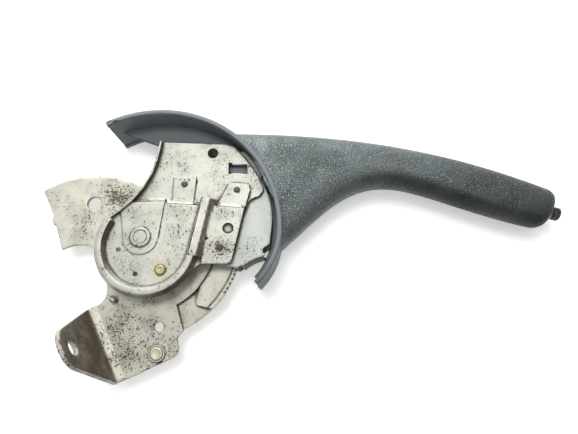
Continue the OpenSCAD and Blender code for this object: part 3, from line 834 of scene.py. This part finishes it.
class Workshop:
    """Makes finished pieces from CAD nodes and from new meshes."""

    # Longest edge that dirt and painted shade are laid on, and how often edges are halved to get
    # there
    SPLIT = 3.2 * MM
    SPLIT_ROUNDS = 7

    def __init__(self, nodes: dict[str, Piece]) -> None:
        """Keeps the nodes and prepares the map of dirt and painted shade."""
        self.nodes = nodes
        self.dirt_and_shade = ShadeAndDirtMap(nodes, ("grip", "rod_spring"))

    def rounded_copy(self, node: str, name: str, edge: Edge, split: bool) -> Piece:
        """Copies a node with its triangles merged and its edges rounded.

        Args:
            node: The CAD node.
            name: The new piece's name.
            edge: How far the edges are rounded.
            split: Whether long edges are divided, so that dirt and painted shade can be laid on the
                points.

        Returns:
            The new object.
        """
        work = bmesh.new()
        work.from_mesh(self.nodes[node].data)
        bmesh.ops.remove_doubles(work, verts=work.verts, dist=2e-6)
        for _ in range(self.SPLIT_ROUNDS if split else 0):
            long_edges = [e for e in work.edges if e.calc_length() > self.SPLIT]
            if not long_edges:
                break
            bmesh.ops.subdivide_edges(work, edges=long_edges, cuts=1)
            bmesh.ops.triangulate(work, faces=[f for f in work.faces if len(f.verts) > 3])
        mesh = bpy.data.meshes.new(name)
        work.to_mesh(mesh)
        work.free()
        mesh.shade_smooth()
        mesh.set_sharp_from_angle(angle=CRISP)
        piece = link(name, mesh)
        bevel = piece.modifiers.new("rounded_edges", "BEVEL")
        bevel.limit_method = "ANGLE"
        bevel.angle_limit = CRISP
        bevel.width = edge.value * MM
        bevel.segments = 2
        bevel.use_clamp_overlap = False
        bevel.harden_normals = True
        return settle(piece)

    def finish(self, piece: Piece, dress: Dress, node: str, reach: Optional[Reach] = None) -> Piece:
        """Gives a piece its finish and its body, or bakes its place where it reaches a second body.

        Args:
            piece: The piece.
            dress: What it is given.
            node: The CAD node that it stands for.
            reach: The second body that it reaches, where it does; then it rides on no body.

        Returns:
            The same piece.
        """
        piece.data.materials.clear()
        piece.data.materials.append(dress.material)
        if reach is None:
            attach(piece, dress.body.value)
        else:
            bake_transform(piece)
        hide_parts(node)
        LOG.info("%s: %d faces, on %s", piece.name, len(piece.data.polygons), dress.body.value)
        return piece

    def plate(self, node: str, name: str, dress: Dress, edge: Edge = Edge.SHARP,
            wear: Optional[Wear] = Wear()) -> Piece:
        """Rounds, paints dirt, rust and shade on, and finishes a copy of one CAD node.

        Args:
            node: The CAD node.
            name: The new piece's name.
            dress: Its finish, body and slot.
            edge: How far its edges are rounded.
            wear: Where it has rusted and takes painted shade; None keeps it clean, with no dirt or
                painted shade.

        Returns:
            The finished piece.
        """
        piece = self.rounded_copy(node, name, edge, wear is not None)
        if wear is not None:
            self.dirt_and_shade.paint(piece.data, wear)
        return self.finish(piece, dress, node)

    def turned(self, pin: TurnedPin, dress: Dress) -> Piece:
        """Turns and finishes a pin that lies across the lever, with dirt and painted shade in its
        grooves.

        Args:
            pin: The pin.
            dress: Its finish, body and slot.

        Returns:
            The finished piece.
        """
        start = PIVOT + Vector(pin.near) * MM
        mesh = lathe(pin.name, pin.profile, start, ACROSS)
        radii = [math.hypot(v.co.x - start.x, v.co.z - start.z) / MM for v in mesh.vertices]
        # Dirt and painted shade in the grooves
        write(mesh, "dirt_and_shade", [pin.groove_dirt_shade if any(abs(r - groove) < pin.groove_half
            for groove in pin.grooves) else 0.0 for r in radii])
        return self.finish(link(pin.name, mesh), dress, pin.node)


@dataclass(frozen=True)
class Rivet:
    """One rivet across the lever: its X and Z, and where its near and far heads sit."""

    at: Point
    near: float
    far: float


@dataclass
class RivetSet:
    """Domed rivets of one size, spread by a node tree."""

    shop: Workshop
    name: str
    node: str
    dress: Dress
    head_mm: float
    rise_mm: float
    shank_mm: float
    rivets: Sequence[Rivet]
    sides: int = 28
    stub_mm: float = 0.5

    def spread(self, shaper: Shaper) -> Socket:
        """Puts a head and a shank on each point.

        Args:
            shaper: The node group in the making.

        Returns:
            The rivets as one smooth geometry.
        """
        add, given = shaper.add, shaper.given
        ball = add("GeometryNodeMeshUVSphere", {"Segments": self.sides, "Rings": self.sides // 2,
            "Radius": 1.0})
        size = add("ShaderNodeCombineXYZ", {0: given["Head Radius"], 1: given["Head Radius"],
            2: given["Head Rise"]})
        head = add("GeometryNodeTransform", {"Geometry": ball.outputs["Mesh"],
            "Scale": size.outputs[0]})
        rod = add("GeometryNodeMeshCylinder", {"Vertices": self.sides,
            "Radius": given["Shank Radius"], "Depth": 1.0})
        lowered = add("GeometryNodeTransform", {"Geometry": rod.outputs["Mesh"],
            "Translation": (0.0, 0.0, -0.5)})
        turn, long = (add("GeometryNodeInputNamedAttribute", {"Name": name},
            data_type="FLOAT").outputs[0] for name in ("turn", "shank"))
        aim = add("ShaderNodeCombineXYZ", {0: turn}).outputs[0]
        stretch = add("ShaderNodeCombineXYZ", {0: 1.0, 1: 1.0, 2: long}).outputs[0]
        both = add("GeometryNodeJoinGeometry")
        for part, scale in ((head, (1.0, 1.0, 1.0)), (lowered, stretch)):
            copies = add("GeometryNodeInstanceOnPoints", {"Points": given["Geometry"],
                "Instance": part.outputs["Geometry"], "Rotation": aim, "Scale": scale})
            shaper.tree.links.new(copies.outputs["Instances"], both.inputs["Geometry"])
        plain = add("GeometryNodeRealizeInstances", {"Geometry": both.outputs["Geometry"]})
        smooth = add("GeometryNodeSetShadeSmooth", {"Geometry": plain.outputs["Geometry"]})
        return smooth.outputs["Geometry"]

    def build(self) -> Piece:
        """Makes the rivets as one piece.

        Returns:
            The finished piece.
        """
        points = bpy.data.meshes.new(self.name)
        # The near head has the whole shank and the far one a stub that meets it
        heads = [head for r in self.rivets for head in ((r.at, r.near, math.pi / 2, r.far - r.near),
            (r.at, r.far, -math.pi / 2, self.stub_mm))]
        points.from_pydata([PIVOT + Vector((x, y, z)) * MM for (x, z), y, _, _ in heads], [], [])
        write(points, "turn", [turn for _, _, turn, _ in heads])
        write(points, "shank", [shank * MM for _, _, _, shank in heads])
        piece = link(self.name, points)
        shaper = Shaper(self.name + "_tree", dict.fromkeys(("Head Radius", "Head Rise",
            "Shank Radius"), "Float"))
        shaper.run(self.spread(shaper), piece, {"Head Radius": self.head_mm * MM / 2,
            "Head Rise": self.rise_mm * MM, "Shank Radius": self.shank_mm * MM / 2,
            "Finish": self.dress.material})
        piece.data.set_sharp_from_angle(angle=CRISP_TURNED)
        return self.shop.finish(piece, self.dress, self.node)


@dataclass
class Assembly:
    """Pieces that are made together, with the workshop and the finishes that they share."""

    shop: Workshop
    looks: Finishes

    def build(self) -> None:
        """Makes and dresses the pieces."""
        raise NotImplementedError


@dataclass
class BracketAssembly(Assembly):
    """The fixed bracket with its ratchet quadrant, rivets, stud and pivot sleeve."""

    wear: Wear = Wear(((-28, 38, 13, 2.0), (-50, 12, 12, 0.7), (-72, 30, 10, 0.6), (-8, -58, 20, 0.9),
        (10, -85, 24, 0.8), (-20, -80, 16, 0.8)), 0.4, 0.95)
    rivet_r: float = 64.5
    rivet_angles: Sequence[float] = (-8, 8, 24)
    rivet_y: Range = (-2.5, 6.0)

    def build(self) -> None:
        """Makes and dresses the bracket's pieces."""
        shop, looks, body = self.shop, self.looks, Body.BRACKET
        shop.plate("base_bracket", "bracket_plate", Dress(looks.bracket, body, "bracket_steel"),
            Edge.PRESSED, self.wear)
        shop.plate("ratchet_quadrant", "toothed_quadrant", Dress(looks.ratchet, body, "greasy_steel"))
        shop.turned(STUD, Dress(looks.stud, body, "yellow_zinc"))
        shop.plate("pivot_sleeve", "pivot_bush", Dress(looks.cheek, body, "zinc_steel"))
        rivets = [Rivet((self.rivet_r * math.cos(a), self.rivet_r * math.sin(a)), *self.rivet_y)
            for a in map(math.radians, self.rivet_angles)]
        RivetSet(shop, "quadrant_rivet_heads", "quadrant_rivets",
            Dress(looks.ratchet, body, "zinc_steel"), 10.0, 1.5, 6.0, rivets).build()


@dataclass
class LeverPlates(Assembly):
    """The pressed plates of the lever with their pins, the tube and the shield."""

    cheek_wear: Wear = Wear(((-14, -22, 10, 0.6), (32, 6, 9, 0.5), (20, 62, 14, 0.5),
        (86, 56, 10, 0.6), (55, 50, 12, 0.4)), 1.5)
    rib_wear: Wear = Wear(((62, -10, 9, 0.9), (-28, -20, 9, 0.5), (70, 12, 8, 0.4)), 3.0)
    arm_wear: Wear = Wear(((84, -2, 8, 1.0), (80, -16, 8, 0.7), (90, 12, 7, 0.5)), 0.8)
    rivets: Sequence[Rivet] = (Rivet((30.9, 42.2), -14.6, -10.0), Rivet((72.1, 37.3), -16.0, -10.0),
        Rivet((60.4, -8.5), -17.5, -13.5), Rivet((30.9, 42.2), 10.0, 14.0),
        Rivet((72.1, 37.3), 10.0, 14.0))

    def build(self) -> None:
        """Makes and dresses the lever's plates, pins, tube and shield."""
        shop, looks, body = self.shop, self.looks, Body.LEVER
        zinc = Dress(looks.cheek, body, "zinc_steel")
        for node, name, dress, wear in (
                ("near_cheek", "near_side_plate", zinc, self.cheek_wear),
                ("far_cheek", "far_side_plate", zinc, self.cheek_wear),
                ("rib_plate", "ribbed_cover_plate", zinc, self.rib_wear),
                ("lever_arm", "channel_arm", Dress(looks.arm, body, "arm_steel"), self.arm_wear)):
            shop.plate(node, name, dress, Edge.PRESSED, wear)
        shop.turned(PIVOT_RIVET, zinc)
        shop.turned(CABLE_PIN, Dress(looks.yellow, body, "yellow_zinc"))
        shop.plate("cable_pin_clip", "cable_hook_clip", Dress(looks.ratchet, body, "zinc_steel"))
        shop.plate("pawl_pin", "pawl_pivot_pin", zinc)
        RivetSet(shop, "plate_rivet_heads", "plate_rivets", Dress(looks.rivet, body, "greasy_steel"),
            4.2, 0.7, 3.0, self.rivets).build()
        shop.plate("handle_tube", "bent_tube", Dress(looks.arm, body, "zinc_steel"), wear=None)
        shop.plate("console_shield", "curved_shield", Dress(looks.shield, body, "slate_plastic"),
            Edge.MOULDED)


@dataclass
class Grip(Assembly):
    """The soft skin: a loft from the shield to the button end, with the tube's hole through it."""

    steps: int = 126
    sides: int = 80
    flare_steps: int = 8
    cap_steps: int = 15
    flare_half: float = 22.0
    end_half: float = 16.5
    wall: float = 4.0
    # How square the rings are at the shield, and how much rounder they get
    flat: float = 0.62
    flat_gain: float = 0.28
    shield_r: float = 95.6
    heel_r: float = 60.0
    shield_at: Point = (11.7, 6.0)
    first_step: float = 1 / 18
    end_push: float = 9.2
    end_scale: float = 0.64
    top: Sequence[Point] = ((56, 87.8), (150, 87.8), (230, 79.6), (316.2, 42.6))
    low_flare: Sequence[Point] = ((105.8, -8.5), (135, 17), (155, 43.6), (190, 43.6))
    low_end: Sequence[Point] = ((190, 43.6), (215, 43.6), (255, 23), (304, 11.6))
    # Painted shade on the downward faces: the tilt that it starts at and how it grows along the grip;
    # and where along the grip the skin darkens towards the button end
    shade_tilt: float = -0.18
    shade_soft: float = 0.45
    shade_under: Range = (0.3, 0.55)
    shade_under_x: Range = (150.0, 60.0)
    end_dark: float = 0.7
    end_dark_x: Range = (175.0, 130.0)

    @staticmethod
    def bezier(corners: Sequence[Point], t: float) -> np.ndarray:
        """A point of a cubic curve in the XZ plane, in millimetres."""
        p = [np.array(c, float) for c in corners]
        return ((1 - t) ** 3 * p[0] + 3 * t * (1 - t) ** 2 * p[1] + 3 * t * t * (1 - t) * p[2]
            + t ** 3 * p[3])

    def lines(self, s: float) -> tuple[np.ndarray, np.ndarray]:
        """The skin's upper and lower line at a share of its length."""
        low = self.bezier(self.low_flare, 2 * s) if s < 0.5 else self.bezier(self.low_end, 2 * s - 1)
        return self.bezier(self.top, s), low

    def turns(self) -> np.ndarray:
        """The angle of each point of a ring."""
        return np.linspace(0, 2 * math.pi, self.sides, endpoint=False)

    def ring(self, s: float, push: float, scale: float, grow: float) -> np.ndarray:
        """One ring of the skin.

        Args:
            s: Share of the length, from the shield to the button.
            push: Distance past that place, along the button's axis.
            scale: Size of the ring.
            grow: Distance that the ring is moved outwards.

        Returns:
            The ring's points, in millimetres from the pivot.
        """
        high, low = self.lines(s)
        span = float(np.linalg.norm(high - low))
        up = (high - low) / span
        flat = self.flat + self.flat_gain * ease(1.4 * s)
        wide = self.flare_half + (self.end_half - self.flare_half) * ease(1.6 * s)
        c, d = np.cos(self.turns()), np.sin(self.turns())
        across = (wide + grow) * scale * np.sign(c) * np.abs(c) ** flat
        along = (span / 2 + grow) * scale * np.sign(d) * np.abs(d) ** flat
        middle = (high + low) / 2 + push * np.array([FALL.x, FALL.z])
        return np.stack([middle[0] + along * up[0], across, middle[1] + along * up[1]], 1)

    def on_shield(self, ring: np.ndarray) -> np.ndarray:
        """Moves a ring along X until it lies on the shield's outer face.

        Args:
            ring: The ring's points.

        Returns:
            The moved points.
        """
        laid = ring.copy()
        rise = ring[:, 2] - self.shield_at[1]
        radius = np.where(rise < 0, self.heel_r, self.shield_r)
        laid[:, 0] = self.shield_at[0] + self.shield_r - radius + np.sqrt(radius ** 2 - rise ** 2)
        return laid

    def hole(self, s: float, push: float) -> np.ndarray:
        """One ring of the inside, from the hollow flare to a snug fit on the tube.

        Args:
            s: Share of the length, from the shield to the button.
            push: Distance past that place, along the button's axis.

        Returns:
            The ring's points, in millimetres from the pivot.
        """
        high, low = self.lines(s)
        up = (high - low) / np.linalg.norm(high - low)
        middle = (high + low) / 2
        bend = np.array([BEND_X, TUBE_Z])
        fall = np.array([FALL.x, FALL.z])
        core = np.array([middle[0], TUBE_Z])
        if middle[0] >= BEND_X:
            core = bend + float((middle - bend) @ fall) * fall
        place = core + push * fall
        c, d = TUBE_R * np.cos(self.turns()), TUBE_R * np.sin(self.turns())
        snug = np.stack([place[0] + d * up[0], c, place[1] + d * up[1]], 1)
        t = ease((s - 0.3) * 6)
        return self.ring(s, push, 1.0, -self.wall) * (1 - t) + snug * t

    def sweep(self, make: Callable[[float], np.ndarray]) -> list[np.ndarray]:
        """All rings of one side of the skin, the first laid on the shield.

        Args:
            make: Gives the ring at a share of the length.

        Returns:
            The rings from the shield to the button.
        """
        first, second = self.on_shield(make(0.0)), make(self.first_step)
        rings = [first + (second - first) * t for t in np.linspace(0, 1, self.flare_steps)]
        return rings + [make(s) for s in np.linspace(self.first_step, 1, self.steps)[1:]]

    def shade_and_dark_end(self, vertex: Vertex) -> float:
        """Painted shade at a point where the skin faces downwards, stronger nearer the button, and
        darkening towards the button end.

        Args:
            vertex: The point.

        Returns:
            The amount, from 0 to 1.
        """
        x = (vertex.co.x - PIVOT.x) / MM
        down = ease((self.shade_tilt - vertex.normal.z) / self.shade_soft)
        start, length = self.shade_under_x
        held = self.shade_under[0] + self.shade_under[1] * ease((x - start) / length)
        start, length = self.end_dark_x
        return max(down * held, self.end_dark * ease((x - start) / length))

    def build(self) -> None:
        """Makes and dresses the skin."""
        outside = self.sweep(lambda s: self.ring(s, 0.0, 1.0, 0.0))
        for turn in np.linspace(0, math.pi / 2, self.cap_steps)[1:]:
            size = self.end_scale + (1 - self.end_scale) * math.cos(turn)
            outside.append(self.ring(1.0, self.end_push * math.sin(turn), size, 0.0))
        inside = self.sweep(lambda s: self.hole(s, 0.0)) + [self.hole(1.0, self.end_push)]
        rings = [[PIVOT + Vector(p) * MM for p in ring] for ring in outside + inside[::-1]]
        mesh = loft("grip_skin", rings)
        mesh.set_sharp_from_angle(angle=CRISP_SKIN)
        write(mesh, "shade_and_dark_end", [self.shade_and_dark_end(vertex) for vertex in mesh.vertices])
        self.shop.finish(link("grip_skin", mesh), Dress(self.looks.grip, Body.LEVER, "grip_skin"),
            "grip")


@dataclass
class Release(Assembly):
    """The button with its collar, rod, spring and pawl. Lengths are in millimetres."""

    button_r: float = 5.3
    button_out: float = 8.5
    button_in: float = 22.0
    button_roll: float = 1.3
    neck_at: float = 0.5
    neck_deep: float = 0.8
    neck_l: float = 2.8
    dish_r: float = 3.2
    dish_deep: float = 0.9
    rod_r: float = 2.5
    rod_hole: float = 12.0
    collar_along: float = 134.68
    collar_t: float = 1.2
    collar_rim: float = 8.3
    collar_roll: float = 0.6
    collar_gap: float = 0.1
    spigot_r: float = 8.0
    spigot_l: float = 18.0
    # Slight breaks at the turned edges
    break_mm: float = 0.3
    seat_back: float = 62.0
    seat_t: float = 2.0
    coil_r: float = 5.9
    wire_r: float = 0.6
    turns: float = 9.0

    def along(self, distance: float) -> Vector:
        """A point of the button's axis, counted from the tube's bend in millimetres."""
        return PIVOT + Vector((BEND_X, 0.0, TUBE_Z)) * MM + FALL * (distance * MM)

    def button(self) -> None:
        """Turns the button, with a necked stem, a rolled rim, a dished end and the rod's hole."""
        end, r = self.button_in + self.collar_t + self.button_out, self.button_r
        neck, after = (self.button_in + self.collar_t + self.neck_at + d for d in (0.0, self.neck_l))
        waist, cut, chamfer = r - self.neck_deep, self.break_mm, r - 0.25
        profile = [(self.rod_hole, 0.0), (self.rod_hole, self.rod_r), (0.0, self.rod_r), (0.0, r),
            (neck - cut, r), (neck, chamfer), (neck + 0.2, waist), (after - cut, waist),
            (after, chamfer), (after + cut, r)]
        roll, dish = self.button_roll, self.dish_r
        profile += [(end - roll + roll * math.sin(t), r - roll + roll * math.cos(t))
            for t in np.linspace(0, math.pi / 2, 8)]
        profile += [(end, dish + cut), (end - cut, dish), (end - self.dish_deep + 0.1, dish - cut),
            (end - self.dish_deep, 0.0)]
        mesh = lathe("push_button", profile, self.along(self.collar_along - self.button_in), FALL)
        self.shop.finish(link("push_button", mesh),
            Dress(self.looks.button, Body.BUTTON, "black_button"), "button")

    def collar(self) -> None:
        """Turns the bright collar, with a rolled rim and a spigot in the tube."""
        inner, cut, roll = self.button_r + self.collar_gap, self.break_mm, self.collar_roll
        profile = [(-self.spigot_l, inner), (-self.spigot_l, self.spigot_r), (0.0, self.spigot_r),
            (0.0, self.collar_rim)]
        profile += [(self.collar_t * math.sin(t), self.collar_rim - roll + roll * math.cos(t))
            for t in np.linspace(0.15, math.pi / 2, 8)]
        profile += [(self.collar_t, inner + cut), (self.collar_t - cut, inner)]
        mesh = lathe("button_ring", profile, self.along(self.collar_along), FALL)
        self.shop.finish(link("button_ring", mesh),
            Dress(self.looks.collar, Body.LEVER, "bright_collar"), "button_collar")

    def coil(self, shaper: Shaper) -> Socket:
        """Sweeps the spring's wire along its coil.

        Args:
            shaper: The node group in the making.

        Returns:
            The spring's geometry.
        """
        add, given = shaper.add, shaper.given
        coil = add("GeometryNodeCurveSpiral", {"Resolution": 30, "Rotations": given["Turns"],
            "Start Radius": given["Coil Radius"], "End Radius": given["Coil Radius"],
            "Height": given["Length"]})
        wire = add("GeometryNodeCurvePrimitiveCircle", {"Resolution": 10,
            "Radius": given["Wire Radius"]})
        swept = add("GeometryNodeCurveToMesh", {"Curve": coil.outputs["Curve"],
            "Profile Curve": wire.outputs["Curve"], "Fill Caps": True})
        placed = add("GeometryNodeTransform", {"Geometry": swept.outputs["Mesh"],
            "Translation": given["Seat"], "Rotation": given["Tilt"]})
        plain = add("GeometryNodeRealizeInstances", {"Geometry": placed.outputs["Geometry"]})
        return plain.outputs["Geometry"]

    def spring(self) -> None:
        """Makes the spring between its seat and the button, which presses it."""
        piece = link("return_spring", bpy.data.meshes.new("return_spring"))
        seat = self.along(self.collar_along - self.seat_back + self.seat_t + self.wire_r)
        length = self.seat_back - self.button_in - self.seat_t - 2 * self.wire_r
        sizes = {"Coil Radius": self.coil_r * MM, "Wire Radius": self.wire_r * MM,
            "Length": length * MM, "Turns": self.turns}
        places = {"Seat": seat, "Tilt": (0.0, math.pi / 2 + DROOP, 0.0)}
        shaper = Shaper("coil_spring_tree", {**dict.fromkeys(sizes, "Float"),
            **dict.fromkeys(places, "Vector")})
        shaper.run(self.coil(shaper), piece, {**sizes, **places, "Finish": self.looks.cheek})
        piece.data.shade_smooth()
        reach = Reach(Body.BUTTON, seat, self.along(self.collar_along - self.button_in))
        self.shop.finish(piece, Dress(self.looks.cheek, Body.LEVER, "zinc_steel"), "rod_spring",
            reach)

    def build(self) -> None:
        """Makes and dresses the release's pieces."""
        self.button()
        self.collar()
        self.spring()
        shop, looks = self.shop, self.looks
        shop.plate("pawl", "ratchet_pawl", Dress(looks.ratchet, Body.PAWL, "greasy_steel"))
        for node, name, finish, body in (
                ("release_rod", "hooked_rod", looks.cheek, Body.BUTTON),
                ("rod_clip", "hook_washer", looks.cheek, Body.BUTTON),
                ("spring_seat", "spring_stop", looks.ratchet, Body.LEVER)):
            shop.plate(node, name, Dress(finish, body, "zinc_steel"), wear=None)


@dataclass(frozen=True)
class Lamp:
    """A soft square lamp: its place from the part's middle, its side and its power.

    Its light linking state says whether it leaves the white cards alone or lights only them.
    """

    name: str
    offset: tuple[float, float, float]
    size: float
    watts: float
    cards: Optional[str] = None


@dataclass
class Studio:
    """Camera, lamps and the white surfaces behind and under the part."""

    wall_gap: float = 0.6 * MM
    floor_gap: float = 50 * MM
    sheet: float = 6.0
    # Glow that brings the cards, where they are seen, up to white
    lift: float = 0.42
    # The sky lamp leaves the cards alone, so that their shadows stay close under the part
    lamps: Sequence[Lamp] = (
        Lamp("front_lamp", (-0.12, -1.1, 0.28), 0.3, 3.6),
        Lamp("sky_lamp", (-0.4, -0.76, 1.36), 1.1, 27.5, "EXCLUDE"),
        Lamp("card_lamp", (-0.12, -1.1, 0.28), 0.8, 6.0, "INCLUDE"),
        Lamp("back_lamp", (0.1, 0.9, 0.7), 0.9, 7.0))
    camera_at: Vector = Vector((157.2, -357.6, -100.2)) * MM
    camera_pitch: float = math.radians(104.0)
    sensor_mm: float = 36.0
    lens_mm: float = 28.65
    # Height of the sky's darkest and brightest level, and these levels
    sky_z: Range = (-0.4, 0.8)
    sky_level: Range = (0.03, 0.5)

    def backdrop_material(self, name: str, bounce: str) -> Material:
        """White card that keeps shadows, and that can't be seen from behind.

        Args:
            name: The card's name.
            bounce: The grey that lights the part, duller than the white that is seen.

        Returns:
            The material.
        """
        shader = Shader(name)
        add = shader.add
        tint = shader.mix(shader.noise(60.0), "f6f7f6", "fafafa")
        seen = shader.shows_background()
        # What bounces back on the part is a duller grey, as in a room that is dark beyond the table
        card = add("ShaderNodeBsdfDiffuse", {"Color": shader.mix(seen, bounce, tint)})
        glow = add("ShaderNodeEmission", {"Color": linear("ffffff"),
            "Strength": shader.maths("MULTIPLY", seen, self.lift)})
        lit = add("ShaderNodeAddShader", {0: card.outputs[0], 1: glow.outputs[0]})
        clear = add("ShaderNodeBsdfTransparent")
        back = add("ShaderNodeNewGeometry").outputs["Backfacing"]
        shadow = add("ShaderNodeLightPath").outputs["Is Shadow Ray"]
        mixed = add("ShaderNodeMixShader", {0: shader.maths("MAXIMUM", back, shadow),
            1: lit.outputs[0], 2: clear.outputs[0]})
        shader.tree.links.new(mixed.outputs[0], shader.surface)
        return shader.made

    def card(self, name: str, at: Vector, up: Vector) -> Piece:
        """Makes one white card as a square whose front faces X × up.

        Args:
            name: The card's name.
            at: Its middle.
            up: Direction of its second side; the first one lies along X.

        Returns:
            The card.
        """
        half, right = self.sheet / 2, Vector((1, 0, 0))
        corners = [at + half * (a * right + b * up) for a, b in ((-1, -1), (1, -1), (1, 1), (-1, 1))]
        mesh = bpy.data.meshes.new(name)
        mesh.from_pydata(corners, [], [(0, 1, 2, 3)])
        made = link(name, mesh)
        made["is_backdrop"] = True
        return made

    def hang(self, lamp: Lamp, middle: Vector, cards: Sequence[Piece]) -> None:
        """Hangs one lamp that looks at the part's middle.

        Args:
            lamp: The lamp.
            middle: The part's middle.
            cards: The white cards.
        """
        data = bpy.data.lights.new(lamp.name, "AREA")
        data.size, data.energy = lamp.size, lamp.watts
        made = link(lamp.name, data)
        made.location = middle + Vector(lamp.offset)
        made.rotation_euler = (middle - made.location).to_track_quat("-Z", "Y").to_euler()
        if lamp.cards is None:
            return
        group = bpy.data.collections.new(lamp.name + "_cards")
        for card in cards:
            group.objects.link(card)
        for item in group.collection_objects:
            item.light_linking.link_state = lamp.cards
        made.light_linking.receiver_collection = group

    def camera(self) -> None:
        """Sets the camera where the photograph was taken from."""
        data = bpy.data.cameras.new("photo_camera")
        data.sensor_width, data.lens = self.sensor_mm, self.lens_mm
        data.clip_start = 10 * MM
        made = link("photo_camera", data)
        made.location = self.camera_at
        made.rotation_euler = (self.camera_pitch, 0.0, 0.0)
        bpy.context.scene.camera = made

    def world(self) -> None:
        """Fills the room with weak light that falls off towards the ground."""
        world = bpy.data.worlds.new("white_room")
        bpy.context.scene.world = world
        world.use_nodes = True
        nodes = Nodes(world.node_tree)
        add = nodes.add
        way = add("ShaderNodeTexCoord").outputs["Generated"]
        height = add("ShaderNodeSeparateXYZ", {0: way}).outputs["Z"]
        sky = nodes.ramp(height, self.sky_z, self.sky_level)
        power = add("ShaderNodeMix", {"Factor": nodes.shows_background(), 2: sky, 3: 1.0},
            data_type="FLOAT").outputs[0]
        light = add("ShaderNodeBackground", {"Color": linear("f6f8fa"), "Strength": power})
        add("ShaderNodeOutputWorld", {"Surface": light.outputs[0]})

    def build(self, low: Vector, high: Vector) -> None:
        """Makes the studio round the part.

        Args:
            low: Lowest corner of the part.
            high: Highest corner of the part.
        """
        self.camera()
        middle = (low + high) / 2
        wall = self.card("back_card", Vector((middle.x, high.y + self.wall_gap, middle.z)),
            Vector((0, 0, 1)))
        floor = self.card("floor_card", Vector((middle.x, middle.y, low.z - self.floor_gap)), ACROSS)
        wall.data.materials.append(self.backdrop_material("white_card", "c4c4c4"))
        floor.data.materials.append(self.backdrop_material("white_card_in_shade", "a0a0a0"))
        for lamp in self.lamps:
            self.hang(lamp, middle, (wall, floor))
        self.world()
        bpy.context.scene.view_settings.view_transform = "Standard"


def main() -> None:
    """Builds every sub-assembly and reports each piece."""
    logging.basicConfig(level=logging.INFO, format="%(message)s")
    cad_low, cad_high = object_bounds()
    shop = Workshop(frame["nodes"])
    finishes = Finishes()
    for kind in (BracketAssembly, LeverPlates, Grip, Release):
        kind(shop, finishes).build()
    Studio().build(cad_low, cad_high)
    bpy.context.view_layer.update()


if __name__ == "__main__":
    main()
